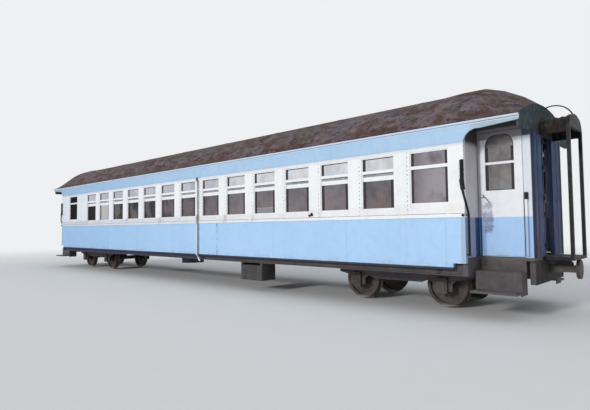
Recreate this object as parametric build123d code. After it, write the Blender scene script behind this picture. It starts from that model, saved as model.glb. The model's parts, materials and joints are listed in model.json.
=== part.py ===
from build123d import *
import math
import os

os.makedirs("parts", exist_ok=True)

# Driving dimensions in millimetres. +X points to the front end, -Y to the right side.
# Heights are measured up from the lowest point of the wheel flanges.

# Body shell
BODY_LENGTH = 16100
BODY_WIDTH = 2900
VESTIBULE_LENGTH = 830
RECESS_DEPTH = 550
WALL = 70
END_WALL = 60
SIDE_BOTTOM = 803
WAIST = 1596
LETTERBOARD_BOTTOM = 2790
EAVE = 3098
BELT_RAIL_HEIGHT = 60
BELT_RAIL_PROUD = 16
DRIP_RAIL_HEIGHT = 22
DRIP_RAIL_PROUD = 10
FASCIA = 30
GUTTER_HEIGHT = 28
GUTTER_PROUD = 28
FASCIA_END_DEPTH = 86
FASCIA_SWEEP = 250
FASCIA_SWEEP_DEPTH = 130
FASCIA_BULGE = 0.72
NOTCH_LENGTH = 210
NOTCH_HEIGHT = 67

# Roof
ROOF_OVERHANG = 20
ROOF_THICKNESS = 45
ROOF_RISE = 785
ROOF_DOME = 700
ROOF_END_BOARD = 40
ROOF_END_BOARD_DROP = 180
SOFFIT = 20
# The roof swells a little over its last stretch and then falls towards the end board.
# Each row is a distance beyond the body's corner and the share of the roof's rise there.
ROOF_SHAPE = (
    (-ROOF_DOME, 1.0),
    (-350, 1.03),
    (0, 1.022),
    (280, 0.902),
    (560, 0.709),
    (VESTIBULE_LENGTH, 0.45),
)
CORNER_SHARE = dict(ROOF_SHAPE)[0]
END_SHARE = ROOF_SHAPE[-1][1]

# Floor and underframe
FLOOR_TOP = 958
FLOOR_THICKNESS = 50
SOLEBAR_DEPTH = 245
SOLEBAR_FLANGE = 80
SOLEBAR_WEB = 14
SILL_SPACING = 520
SILL_WIDTH = 90
SILL_DEPTH = 190
CROSS_BEARER_WIDTH = 80
CROSS_BEARER_DEPTH = 150
CROSS_BEARER_COUNT = 7
CROSS_BEARER_CLEAR = 1950
BODY_BOLSTER_WIDTH = 320
HEADSTOCK_DEPTH = 370
HEADSTOCK_THICKNESS = 90
HEADSTOCK_INSET = 80
END_SILL_WIDTH = 80

# Windows: a run that starts behind the front corner, and a lone window at the rear corner.
# The first place is measured from the front corner, the other two from the rear corner.
WINDOW_COUNT = 14
WINDOW_FIRST = 592
WINDOW_RUN_END = 2650
WINDOW_LONE = 1080
WINDOW_WIDTH = 690
WINDOW_BOTTOM = 1770
WINDOW_TOP = 2720
TRANSOM_CENTRE = 2450
SASH_BAR = 20
SASH_FOOT = 80
TRANSOM_BAR = 54
SASH_DEPTH = 40
SASH_RECESS = 12
PANE = 8
# The drop sashes stand lowered a little and leave a gap under the transom.
DROP_SASH_TOP = 2370
DROP_SASH_RAIL = 80
DROP_SASH_SETBACK = 16

# End wall and bulkhead doorways
END_DOORWAY_WIDTH = 540
END_DOORWAY_TOP = 2950
BULKHEAD_DOORWAY_WIDTH = 700
BULKHEAD_DOORWAY_TOP = 2900
POST_LENGTH = 120
DOOR_HEAD = 112

# Side doors
DOOR_THICKNESS = 45
DOOR_GAP = 8
DOOR_WINDOW_WIDTH = 450
DOOR_WINDOW_BOTTOM = 2028
DOOR_WINDOW_TOP = 2928
DOOR_WINDOW_CORNER = 90
DOOR_BAR = 40
DOOR_BAR_CENTRE = 2470
KNOB_RADIUS = 16
KNOB_HEIGHT = 1940
KNOB_INSET = 70
KNOB_LENGTH = 34
HINGE_RADIUS = 8
HINGE_HEIGHT = 45
HINGE_LEAF = 32
HINGE_PLATE = 4
HINGE_GAP = 0.3
HINGE_PLACES = (1160, 1990, 2820)

# Steps under the side doors
STEP_PLATE = 30
STEP_SETBACK = 60
STEP_TOPS = (740, 450)
CHEEK = 20
CHEEK_DEPTH = 60

# Gangway between coaches
GANGWAY_REACH = 440
HOOP_THICKNESS = 50
HOOP_WIDTH = 890
HOOP_BAR = 60
HOOP_TOP = 3250
HOOP_CORNER = 250
HOOP_CROWN = 30
HOOP_OPENING_TOP = 3010
FALL_PLATE = 14
HOOD_THICKNESS = 24
HOOD_DROP = 90
HOOD_INSET = 16
STAY_SIZE = 40
TOP_STAY_RADIUS = 10
TOP_STAY_RISE = 120
TOP_STAY_FOOT = 30

# Coupler
COUPLER_CENTRE = 748
COUPLER_SHANK = 110
BUFFER_RADIUS = 155
BUFFER_THICKNESS = 50
HOOK_WIDTH = 60
HOOK_FOOT = 60
HOOK_HEEL = 90
HOOK_HEEL_HEIGHT = 70
HOOK_NOSE = 150
HOOK_NOSE_HEIGHT = 82
HOOK_THROAT = 110
HOOK_THROAT_HEIGHT = 40

# Bogies and wheels
BOGIE_INSET = 1600
WHEELBASE = 1800
WHEEL_RADIUS = 380
FLANGE_DEPTH = 28
FLANGE_WIDTH = 32
FLANGE_BEVEL = 8
FLANGE_ROOT = 14
TREAD_CONE = 4
TYRE_WIDTH = 125
TYRE_THICKNESS = 62
BACK_TO_BACK = 990
WHEEL_DISC = 24
HUB_RADIUS = 115
HUB_WIDTH = 150
AXLE_RADIUS = 68
JOURNAL_RADIUS = 52
JOURNAL_END = 835
JOURNAL_START = 690
JOURNAL_CLEARANCE = 0.05
SIDE_FRAME_PLACE = 780
SIDE_FRAME_THICKNESS = 30
SIDE_FRAME_TOP = 632
SIDE_FRAME_BOTTOM = 505
SIDE_FRAME_MIDDLE_BOTTOM = 450
FRAME_TIP_RISE = 40
HORN_FLARE = 60
BELLY_START = 90
BELLY_END = 230
BOGIE_LENGTH = 2690
BOGIE_HEADSTOCK = 30
HORN_WIDTH = 70
HORN_BOTTOM = 318
AXLEBOX_WIDTH = 200
AXLEBOX_HEIGHT = 250
AXLEBOX_DEPTH = 150
AXLEBOX_CORNER = 36
AXLEBOX_SLACK = 1
AXLEBOX_NECK = 50
LEAF_LENGTH = 840
LEAF_WIDTH = 80
LEAF_THICKNESS = 14
LEAF_COUNT = 5
LEAF_CAMBER = 55
LEAF_SEAT = 24
LEAF_BAND = 90
LEAF_BAND_PROUD = 8
LEAF_HANGER = 36
TRANSOM_PLACE = 210
TRANSOM_WIDTH = 70
TRANSOM_DEPTH = 150
BOGIE_BOLSTER_WIDTH = 260
BOGIE_BOLSTER_DEPTH = 120
BOGIE_BOLSTER_RISE = 40
PIVOT_RADIUS = 180
PIVOT_GAP = 0.3

# Equipment under the floor
BOX_PLACE = 2970
BOX_LENGTH = 720
BOX_DEPTH = 420
BOX_BOTTOM = 260
HANGER = 60
BRAKE_RADIUS = 230
BRAKE_HEIGHT = 330
PIPE_PLACE = 977
PIPE_RADIUS = 22
SPOUT_REACH = 130
SPOUT_DROP = 170
SPOUT_BEND = 60

# Handrails
RAIL_RADIUS = 18
RAIL_STANDOFF = 34
RAIL_STUB_RADIUS = 10
CORNER_RAIL_INSET = 24
CORNER_RAIL_RETURN = 40
CORNER_RAIL_ROUND = 30
CORNER_RAIL_TOP = 2495
CORNER_RAIL_BEND = 2054
CORNER_RAIL_TURN = 1830
CORNER_RAIL_STRAIGHT = 1650
CORNER_RAIL_BOTTOM = 990
CORNER_RAIL_RADIUS = 150
POST_RAIL_INSET = 80
POST_RAIL_TOP = 1930
POST_RAIL_BOTTOM = 990

# Seats
SEAT_UNIT_COUNT = 7
SEAT_WIDTH = 920
SEAT_HEIGHT = 430
SEAT_REACH = 430
SEAT_BACK_TOP = 1000
SEAT_BACK_THICKNESS = 60
SEAT_BOARD = 36
SEAT_LEG = 60

ENDS = (("front", 1), ("rear", -1))
SIDES = (("right", -1), ("left", 1))
# Each row is the end and the side of a downpipe, and of the equipment box beyond it.
PIPED_CORNERS = ((1, -1), (-1, 1))

HALF = BODY_LENGTH / 2
HALF_WIDTH = BODY_WIDTH / 2
END_FACE = HALF + VESTIBULE_LENGTH
VESTIBULE_HALF = HALF_WIDTH - RECESS_DEPTH
WALL_INNER = HALF_WIDTH - WALL
FLOOR_BOTTOM = FLOOR_TOP - FLOOR_THICKNESS
ROOF_HALF = HALF_WIDTH + ROOF_OVERHANG
AXLE_HEIGHT = WHEEL_RADIUS + FLANGE_DEPTH
POST_START = END_FACE - POST_LENGTH
POST_INNER = VESTIBULE_HALF - DOOR_THICKNESS
GANGWAY_FACE = END_FACE + GANGWAY_REACH
BOGIE_CENTRE = HALF - BOGIE_INSET
CROSS_BEARER_PITCH = 2 * (BOGIE_CENTRE - CROSS_BEARER_CLEAR) / (CROSS_BEARER_COUNT - 1)
WINDOW_PITCH = (BODY_LENGTH - WINDOW_FIRST - WINDOW_RUN_END) / (WINDOW_COUNT - 1)
WINDOW_PLACES = [HALF - WINDOW_FIRST - WINDOW_PITCH * i for i in range(WINDOW_COUNT)]
WINDOW_PLACES.append(WINDOW_LONE - HALF)
# The windows without a drop sash.
FIXED_PLACES = (WINDOW_PLACES[0], WINDOW_PLACES[-1])
SEAT_PITCH = 2 * WINDOW_PITCH


def block(x0, x1, y0, y1, z0, z1):
    """A box between two opposite corners."""
    middle = Pos((x0 + x1) / 2, (y0 + y1) / 2, (z0 + z1) / 2)
    return middle * Box(abs(x1 - x0), abs(y1 - y0), abs(z1 - z0))


def fuse(pieces):
    """One solid from pieces that share faces or volume."""
    whole = pieces[0]
    for piece in pieces[1:]:
        whole = whole + piece
    return whole


def save(name, pieces):
    """Write one sub-part from a list of solids that don't touch."""
    shape = Compound(children=[piece.solid() for piece in pieces])
    export_step(shape, f"parts/{name}.step")


def cross_plane(x, z=0):
    """A plane across the coach, seen from the front: right is +Y, up is +Z."""
    return Plane(origin=(x, 0, z), x_dir=(0, 1, 0), z_dir=(1, 0, 0))


def side_plane(y):
    """A plane along the coach: right is +X, up is +Z."""
    return Plane(origin=(0, y, 0), x_dir=(1, 0, 0), z_dir=(0, -1, 0))


def prism_along_x(face, x0, x1):
    """A section drawn in Y and Z, carried from x0 to x1."""
    low = min(x0, x1)
    return extrude(cross_plane(low) * face, amount=abs(x1 - x0))


def prism_along_y(face, y0, y1):
    """A section drawn in X and Z, carried from y0 to y1."""
    high = max(y0, y1)
    return extrude(side_plane(high) * face, amount=abs(y1 - y0))


def at_corner(shape, end, side):
    """A shape made for the front right corner, mirrored to another corner."""
    if end < 0:
        shape = mirror(shape, about=Plane.YZ)
    if side > 0:
        shape = mirror(shape, about=Plane.XZ)
    return shape


def roof_section(rise, half_width, thickness):
    """The roof's crescent: an outer and an inner arc that stand on the eave line."""
    inner_half = half_width - thickness
    outer = ThreePointArc((-half_width, 0), (0, rise), (half_width, 0))
    inner = ThreePointArc((inner_half, 0), (0, rise - thickness), (-inner_half, 0))
    right = Line((half_width, 0), (inner_half, 0))
    left = Line((-inner_half, 0), (-half_width, 0))
    return make_face([outer, right, inner, left])


def arch_section(rise, half_width):
    """A plain arch over a straight chord."""
    top = ThreePointArc((-half_width, 0), (0, rise), (half_width, 0))
    return make_face([top, Line((half_width, 0), (-half_width, 0))])


def main_roof():
    """The straight run of the roof between its two shaped ends."""
    section = roof_section(ROOF_RISE, ROOF_HALF, ROOF_THICKNESS)
    return extrude(cross_plane(ROOF_DOME - HALF, EAVE) * section, amount=BODY_LENGTH - 2 * ROOF_DOME)


def roof_end():
    """The domed and falling end of the roof, with its end board and soffits."""
    sections = []
    for place, share in ROOF_SHAPE:
        face = roof_section(ROOF_RISE * share, ROOF_HALF, ROOF_THICKNESS)
        sections.append(cross_plane(HALF + place, EAVE) * face)
    shell = loft(sections, ruled=True)
    end_rise = ROOF_RISE * END_SHARE
    board = extrude(
        cross_plane(END_FACE - ROOF_END_BOARD, EAVE) * arch_section(end_rise - 1, ROOF_HALF - 1),
        amount=ROOF_END_BOARD,
    )
    whole = shell + board
    for side in (-1, 1):
        apron = block(END_FACE - ROOF_END_BOARD, END_FACE, side * VESTIBULE_HALF,
                      side * (HALF_WIDTH - FASCIA), EAVE - ROOF_END_BOARD_DROP, EAVE + 1)
        whole = whole + apron
    for side in (-1, 1):
        inner = POST_INNER
        outer = ROOF_HALF - ROOF_THICKNESS / 2
        whole = whole + block(HALF, END_FACE, side * inner, side * outer, EAVE, EAVE + SOFFIT)
    return whole


def letterboard(side):
    """The board under the eave: it sweeps up over the vestibule and carries the gutter."""
    sweep_top = EAVE - FASCIA_SWEEP_DEPTH
    end_bottom = EAVE - FASCIA_END_DEPTH
    edges = [Line((-END_FACE, EAVE), (END_FACE, EAVE))]
    edges.append(Line((END_FACE, EAVE), (END_FACE, end_bottom)))
    edges.append(Line((END_FACE, end_bottom), (HALF + FASCIA_SWEEP, sweep_top)))
    bulge = FASCIA_BULGE * FASCIA_SWEEP
    middle_height = LETTERBOARD_BOTTOM + FASCIA_BULGE * (sweep_top - LETTERBOARD_BOTTOM)
    front_middle = (HALF + FASCIA_SWEEP - bulge, middle_height)
    edges.append(ThreePointArc((HALF + FASCIA_SWEEP, sweep_top), front_middle, (HALF, LETTERBOARD_BOTTOM)))
    edges.append(Line((HALF, LETTERBOARD_BOTTOM), (-HALF, LETTERBOARD_BOTTOM)))
    rear_middle = (-HALF - FASCIA_SWEEP + bulge, middle_height)
    edges.append(ThreePointArc((-HALF, LETTERBOARD_BOTTOM), rear_middle, (-HALF - FASCIA_SWEEP, sweep_top)))
    edges.append(Line((-HALF - FASCIA_SWEEP, sweep_top), (-END_FACE, end_bottom)))
    edges.append(Line((-END_FACE, end_bottom), (-END_FACE, EAVE)))
    outer = side * HALF_WIDTH
    back = side * (HALF_WIDTH - FASCIA)
    board = prism_along_y(make_face(edges), outer, back)
    backing = block(-HALF, HALF, back, side * WALL_INNER, LETTERBOARD_BOTTOM, EAVE)
    drip_outer = side * (HALF_WIDTH + DRIP_RAIL_PROUD)
    drip = block(-HALF, HALF, drip_outer, outer, LETTERBOARD_BOTTOM, LETTERBOARD_BOTTOM + DRIP_RAIL_HEIGHT)
    gutter_outer = side * (HALF_WIDTH + GUTTER_PROUD)
    gutter = block(-END_FACE, END_FACE, gutter_outer, outer, EAVE - GUTTER_HEIGHT, EAVE)
    return fuse([board, backing, drip, gutter])


def side_panels(side):
    """The lower panelling of one side, stepped up at each corner."""
    panel = block(-HALF, HALF, side * HALF_WIDTH, side * WALL_INNER, SIDE_BOTTOM, WAIST)
    for end in (-1, 1):
        inner = end * (HALF - NOTCH_LENGTH)
        notch_top = SIDE_BOTTOM + NOTCH_HEIGHT
        panel = panel - block(inner, end * (HALF + 1), side * (HALF_WIDTH + 1), side * (WALL_INNER - 1),
                              SIDE_BOTTOM - 1, notch_top)
    return panel


def window_band(side):
    """The wall between waist and letterboard with its windows cut and its belt rail."""
    band = block(-HALF, HALF, side * HALF_WIDTH, side * WALL_INNER, WAIST, LETTERBOARD_BOTTOM)
    rail_outer = side * (HALF_WIDTH + BELT_RAIL_PROUD)
    band = band + block(-HALF, HALF, rail_outer, side * HALF_WIDTH, WAIST, WAIST + BELT_RAIL_HEIGHT)
    for end, pipe_side in PIPED_CORNERS:
        if pipe_side == side:
            x = end * PIPE_PLACE
            band = band - block(x - PIPE_RADIUS, x + PIPE_RADIUS, rail_outer + side, side * HALF_WIDTH,
                                WAIST - 1, WAIST + BELT_RAIL_HEIGHT + 1)
    for x in WINDOW_PLACES:
        band = band - block(x - WINDOW_WIDTH / 2, x + WINDOW_WIDTH / 2, side * (HALF_WIDTH + 1),
                            side * (WALL_INNER - 1), WINDOW_BOTTOM, WINDOW_TOP)
    return band


def sash_lights(x):
    """The two openings of the sash at x as rows of low and high edges."""
    foot = SASH_FOOT if x in FIXED_PLACES else SASH_BAR
    lower = (WINDOW_BOTTOM + foot, TRANSOM_CENTRE - TRANSOM_BAR / 2)
    upper = (TRANSOM_CENTRE + TRANSOM_BAR / 2, WINDOW_TOP - SASH_BAR)
    return (lower, upper)


def window_sash(x, side):
    """One window frame with its transom and, but for the fixed ones, the top rail of a drop sash."""
    outer = side * (HALF_WIDTH - SASH_RECESS)
    inner = side * (HALF_WIDTH - SASH_RECESS - SASH_DEPTH)
    sash = block(x - WINDOW_WIDTH / 2, x + WINDOW_WIDTH / 2, outer, inner, WINDOW_BOTTOM, WINDOW_TOP)
    half = WINDOW_WIDTH / 2 - SASH_BAR
    for low, high in sash_lights(x):
        sash = sash - block(x - half, x + half, outer + side, inner - side, low, high)
    if x not in FIXED_PLACES:
        sash = sash + block(x - half, x + half, outer - side * DROP_SASH_SETBACK, inner,
                            DROP_SASH_TOP - DROP_SASH_RAIL, DROP_SASH_TOP)
    return sash


def window_panes(x, side):
    """The panes of one window: the toplight, and the lower pane up to the drop sash's rail."""
    middle = HALF_WIDTH - SASH_RECESS - SASH_DEPTH / 2
    half = WINDOW_WIDTH / 2 - SASH_BAR
    panes = []
    lower, upper = sash_lights(x)
    if x not in FIXED_PLACES:
        lower = (lower[0], DROP_SASH_TOP - DROP_SASH_RAIL)
    for low, high in (lower, upper):
        panes.append(block(x - half, x + half, side * (middle + PANE / 2), side * (middle - PANE / 2),
                           low, high))
    return panes


def floor_deck():
    """The floor inside the body and the narrower floor of both vestibules."""
    body = block(-HALF, HALF, -WALL_INNER, WALL_INNER, FLOOR_BOTTOM, FLOOR_TOP)
    ends = block(-END_FACE, END_FACE, -VESTIBULE_HALF, VESTIBULE_HALF, FLOOR_BOTTOM, FLOOR_TOP)
    return body + ends


def solebar(side):
    """A channel along one side of the body, its web inside and its flanges turned outward."""
    end = HALF - END_SILL_WIDTH
    outer = side * WALL_INNER
    inner = side * (WALL_INNER - SOLEBAR_FLANGE)
    bottom = FLOOR_BOTTOM - SOLEBAR_DEPTH
    web = block(-end, end, inner, inner + side * SOLEBAR_WEB, bottom, FLOOR_BOTTOM)
    upper = block(-end, end, inner, outer, FLOOR_BOTTOM - SOLEBAR_WEB, FLOOR_BOTTOM)
    lower = block(-end, end, inner, outer, bottom, bottom + SOLEBAR_WEB)
    return fuse([web, upper, lower])


def centre_sills():
    """The pair of sills along the middle, in lengths between bolsters, end sills and headstocks."""
    half_bolster = BODY_BOLSTER_WIDTH / 2
    # Each row is the start and end of one length, along +X.
    lengths = [(half_bolster - BOGIE_CENTRE, BOGIE_CENTRE - half_bolster)]
    for end in (-1, 1):
        lengths.append((end * (BOGIE_CENTRE + half_bolster), end * (HALF - END_SILL_WIDTH)))
        lengths.append((end * HALF, end * (END_FACE - HEADSTOCK_THICKNESS)))
    sills = []
    for x0, x1 in lengths:
        for side in (-1, 1):
            inner = side * (SILL_SPACING - SILL_WIDTH) / 2
            outer = side * (SILL_SPACING + SILL_WIDTH) / 2
            sills.append(block(x0, x1, inner, outer, FLOOR_BOTTOM - SILL_DEPTH, FLOOR_BOTTOM))
    return sills


def cross_bearer_places():
    """The middles of the cross bearers, evenly spaced between the bogies."""
    first = -CROSS_BEARER_PITCH * (CROSS_BEARER_COUNT - 1) / 2
    return [first + CROSS_BEARER_PITCH * i for i in range(CROSS_BEARER_COUNT)]


def cross_members():
    """Cross bearers between sills and solebars, body bolsters, end sills and headstocks."""
    members = []
    web = WALL_INNER - SOLEBAR_FLANGE
    sill_inner = (SILL_SPACING - SILL_WIDTH) / 2
    sill_outer = (SILL_SPACING + SILL_WIDTH) / 2
    half_bearer = CROSS_BEARER_WIDTH / 2
    for x in cross_bearer_places():
        for y0, y1 in ((-web, -sill_outer), (-sill_inner, sill_inner), (sill_outer, web)):
            members.append(block(x - half_bearer, x + half_bearer, y0, y1,
                                 FLOOR_BOTTOM - CROSS_BEARER_DEPTH, FLOOR_BOTTOM))
    for end in (-1, 1):
        x = end * BOGIE_CENTRE
        members.append(block(x - BODY_BOLSTER_WIDTH / 2, x + BODY_BOLSTER_WIDTH / 2, -web, web,
                             body_bolster_bottom(), FLOOR_BOTTOM))
        members.append(block(end * HALF, end * (HALF - END_SILL_WIDTH), -WALL_INNER, WALL_INNER,
                             FLOOR_BOTTOM - SOLEBAR_DEPTH, FLOOR_BOTTOM))
        head_half = VESTIBULE_HALF - HEADSTOCK_INSET
        members.append(block(end * END_FACE, end * (END_FACE - HEADSTOCK_THICKNESS), -head_half, head_half,
                             FLOOR_BOTTOM - HEADSTOCK_DEPTH, FLOOR_BOTTOM))
    return members


def body_bolster_bottom():
    """The height at which the body's bolster meets the bogie's pivot plate."""
    return FLOOR_BOTTOM - SILL_DEPTH


def bulkhead(end):
    """The wall between saloon and vestibule, arched to the roof, with an open doorway."""
    outer = end * HALF
    inner = end * (HALF - END_WALL)
    low = block(outer, inner, -WALL_INNER, WALL_INNER, FLOOR_TOP, EAVE)
    arch_half = ROOF_HALF - ROOF_THICKNESS
    arch = arch_section(ROOF_RISE * CORNER_SHARE - ROOF_THICKNESS, arch_half)
    high = extrude(cross_plane(min(outer, inner), EAVE) * arch, amount=END_WALL)
    half = BULKHEAD_DOORWAY_WIDTH / 2
    doorway = block(outer + end, inner - end, -half, half, FLOOR_TOP - 1, BULKHEAD_DOORWAY_TOP)
    return low + high - doorway


def end_wall(end):
    """The outer end wall between the corner posts, with the open doorway to the gangway."""
    outer = end * END_FACE
    inner = end * (END_FACE - END_WALL)
    wall = block(outer, inner, -POST_INNER, POST_INNER, FLOOR_TOP, EAVE)
    gap = END_DOORWAY_WIDTH / 2
    return wall - block(outer + end, inner - end, -gap, gap, FLOOR_TOP - 1, END_DOORWAY_TOP)


def door_frame(end, side):
    """The corner post of the vestibule and the head over the side door."""
    outer = side * VESTIBULE_HALF
    inner = side * POST_INNER
    post = block(end * POST_START, end * END_FACE, outer, inner, FLOOR_TOP, EAVE)
    head = block(end * HALF, end * POST_START, outer, inner, EAVE - DOOR_HEAD, EAVE)
    knuckles = [at_corner(hinge_knuckle(z, 1), end, side) for z in HINGE_PLACES]
    return fuse([post, head] + knuckles)


def hinge_knuckle(z, way):
    """Half a door hinge: the post's knuckle goes below z (way 1), the door's above (way -1)."""
    x = POST_START - DOOR_GAP / 2
    y = -(POST_INNER - HINGE_RADIUS)
    low = z - way * HINGE_GAP / 2
    high = low - way * HINGE_HEIGHT
    barrel = Pos(x, y, (low + high) / 2) * Cylinder(HINGE_RADIUS, HINGE_HEIGHT)
    leaf_end = x + way * (DOOR_GAP / 2 + HINGE_LEAF)
    leaf = block(x, leaf_end, -POST_INNER, -POST_INNER + HINGE_PLATE, low, high)
    return barrel + leaf


def door_span():
    """The lowest and highest X of a door, for the front end."""
    return (HALF + DOOR_GAP, POST_START - DOOR_GAP)


def door_window_face(margin):
    """The door's window with rounded upper corners, enlarged inward by a margin."""
    low_x, high_x = door_span()
    middle = (low_x + high_x) / 2
    half = DOOR_WINDOW_WIDTH / 2 - margin
    bottom = DOOR_WINDOW_BOTTOM + margin
    top = DOOR_WINDOW_TOP - margin
    corner = DOOR_WINDOW_CORNER - margin
    cut = corner * (1 - math.sqrt(0.5))
    edges = [Line((middle - half, bottom), (middle + half, bottom))]
    edges.append(Line((middle + half, bottom), (middle + half, top - corner)))
    edges.append(ThreePointArc((middle + half, top - corner), (middle + half - cut, top - cut),
                               (middle + half - corner, top)))
    edges.append(Line((middle + half - corner, top), (middle - half + corner, top)))
    edges.append(ThreePointArc((middle - half + corner, top), (middle - half + cut, top - cut),
                               (middle - half, top - corner)))
    edges.append(Line((middle - half, top - corner), (middle - half, bottom)))
    return make_face(edges)


def side_door():
    """The front right door: a panel with a window opening, a bar across it and a knob."""
    low_x, high_x = door_span()
    outer = -VESTIBULE_HALF
    inner = -POST_INNER
    top = EAVE - DOOR_HEAD - DOOR_GAP
    panel = block(low_x, high_x, outer, inner, FLOOR_TOP + DOOR_GAP, top)
    opening = prism_along_y(door_window_face(0), outer - 1, inner + 1)
    middle = (low_x + high_x) / 2
    half = DOOR_WINDOW_WIDTH / 2
    bar = block(middle - half, middle + half, outer + DOOR_THICKNESS / 4, inner - DOOR_THICKNESS / 4,
                DOOR_BAR_CENTRE - DOOR_BAR / 2, DOOR_BAR_CENTRE + DOOR_BAR / 2)
    knob_plane = Plane(origin=(low_x + KNOB_INSET, outer, KNOB_HEIGHT), z_dir=(0, -1, 0))
    knob = extrude(knob_plane * Circle(KNOB_RADIUS), amount=KNOB_LENGTH)
    knuckles = [hinge_knuckle(z, -1) for z in HINGE_PLACES]
    return fuse([panel - opening, bar, knob] + knuckles)


def door_panes():
    """The two panes of the front right door, above and below its bar."""
    outer = -(VESTIBULE_HALF - DOOR_THICKNESS / 2 + PANE / 2)
    inner = outer + PANE
    whole = prism_along_y(door_window_face(0), outer, inner)
    low_x, high_x = door_span()
    split = block(low_x, high_x, outer - 1, inner + 1,
                  DOOR_BAR_CENTRE - DOOR_BAR / 2, DOOR_BAR_CENTRE + DOOR_BAR / 2)
    return (whole - split).solids()


def steps(end, side):
    """Two treads with closed risers under a side door, between two cheeks."""
    inner_x = HALF + CHEEK
    outer_x = POST_START
    back = VESTIBULE_HALF
    top = FLOOR_BOTTOM
    pieces = []
    reach = (RECESS_DEPTH - STEP_SETBACK) / len(STEP_TOPS)
    for tread_top in STEP_TOPS:
        riser = block(end * inner_x, end * outer_x, side * (back - STEP_PLATE), side * back,
                      tread_top - STEP_PLATE, top)
        tread = block(end * inner_x, end * outer_x, side * (back - STEP_PLATE), side * (back + reach),
                      tread_top - STEP_PLATE, tread_top)
        pieces.extend([riser, tread])
        back = back + reach
        top = tread_top
    for x in (inner_x, outer_x - CHEEK):
        pieces.append(block(end * x, end * (x + CHEEK), side * (VESTIBULE_HALF - STEP_PLATE),
                            side * (VESTIBULE_HALF + reach), STEP_TOPS[1] - CHEEK_DEPTH, STEP_TOPS[0]))
    return fuse(pieces)


def hoop_outline(inset):
    """The gangway hoop's outline above its foot, with round shoulders and a low crown, in Y and Z."""
    half = HOOP_WIDTH / 2 - inset
    foot = FLOOR_BOTTOM
    top = HOOP_TOP - inset
    corner = HOOP_CORNER - inset
    flat = half - corner
    shoulder = top - HOOP_CROWN - corner
    cut = corner * math.sqrt(0.5)
    edges = [Line((-half, foot), (half, foot)), Line((half, foot), (half, shoulder))]
    edges.append(ThreePointArc((half, shoulder), (flat + cut, shoulder + cut), (flat, shoulder + corner)))
    edges.append(ThreePointArc((flat, shoulder + corner), (0, top), (-flat, shoulder + corner)))
    edges.append(ThreePointArc((-flat, shoulder + corner), (-flat - cut, shoulder + cut), (-half, shoulder)))
    edges.append(Line((-half, shoulder), (-half, foot)))
    return make_face(edges)


def gangway_frame(end):
    """The hoop of the gangway with its fall plate, the stays of its foot and the stay of its top."""
    face = end * GANGWAY_FACE
    back = end * (GANGWAY_FACE - HOOP_THICKNESS)
    wall = end * END_FACE
    hoop = prism_along_x(hoop_outline(0), back, face)
    half = HOOP_WIDTH / 2 - HOOP_BAR
    hoop = hoop - block(back - end, face + end, -half, half, FLOOR_TOP, HOOP_OPENING_TOP)
    plate = block(wall, back, -half, half, FLOOR_TOP - FALL_PLATE, FLOOR_TOP)
    pieces = [hoop, plate]
    for side in (-1, 1):
        pieces.append(block(wall, back, side * half, side * (half + STAY_SIZE), FLOOR_BOTTOM, FLOOR_TOP))
    pieces.append(top_stay(end))
    return fuse(pieces)


def top_stay(end):
    """The arched rod from the roof's end board out and down to the crown of the hoop."""
    board_top = EAVE + ROOF_RISE * END_SHARE
    start = (end * (END_FACE - 2 * TOP_STAY_RADIUS), 0, board_top - TOP_STAY_FOOT)
    stop = (end * (GANGWAY_FACE - HOOP_THICKNESS / 2), 0, HOOP_TOP - HOOP_CROWN)
    middle = ((start[0] + stop[0]) / 2, 0, (start[2] + stop[2]) / 2 + TOP_STAY_RISE)
    path = ThreePointArc(start, middle, stop)
    bar = sweep(Plane(origin=start, z_dir=path % 0) * Circle(TOP_STAY_RADIUS), path=path)
    behind = block(end * HALF, end * END_FACE, -HOOP_BAR, HOOP_BAR, HOOP_TOP, EAVE + ROOF_RISE)
    return bar - behind


def gangway_hood(end):
    """The canvas hood over the gangway, between the end wall and the hoop."""
    outer = hoop_outline(HOOD_INSET)
    inner = hoop_outline(HOOD_INSET + HOOD_THICKNESS)
    wall = end * END_FACE
    back = end * (GANGWAY_FACE - HOOP_THICKNESS)
    shell = prism_along_x(outer, wall, back) - prism_along_x(inner, wall - end, back + end)
    bottom = HOOP_OPENING_TOP - HOOD_DROP
    below = block(wall - end, back + end, -HOOP_WIDTH, HOOP_WIDTH, FLOOR_BOTTOM - 1, bottom)
    return shell - below


def coupler(end):
    """The centre buffer with its shank and the hook that lies on top of it."""
    wall = end * END_FACE
    face = end * GANGWAY_FACE
    head_back = end * (GANGWAY_FACE - BUFFER_THICKNESS)
    half = COUPLER_SHANK / 2
    shank = block(wall, head_back, -half, half, COUPLER_CENTRE - half, COUPLER_CENTRE + half)
    disc_plane = Plane(origin=(head_back, 0, COUPLER_CENTRE), z_dir=(end, 0, 0))
    disc = extrude(disc_plane * Circle(BUFFER_RADIUS), amount=BUFFER_THICKNESS)
    base = COUPLER_CENTRE + half
    foot = wall + end * HOOK_FOOT
    throat = face - end * HOOK_THROAT
    profile = Polyline((foot, base), (wall + end * HOOK_HEEL, base + HOOK_HEEL_HEIGHT),
                       (face - end * HOOK_NOSE, base + HOOK_NOSE_HEIGHT),
                       (throat, base + HOOK_THROAT_HEIGHT), (throat, base), (foot, base))
    hook = prism_along_y(make_face(profile), HOOK_WIDTH / 2, -HOOK_WIDTH / 2)
    return fuse([shank, disc, hook])


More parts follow.
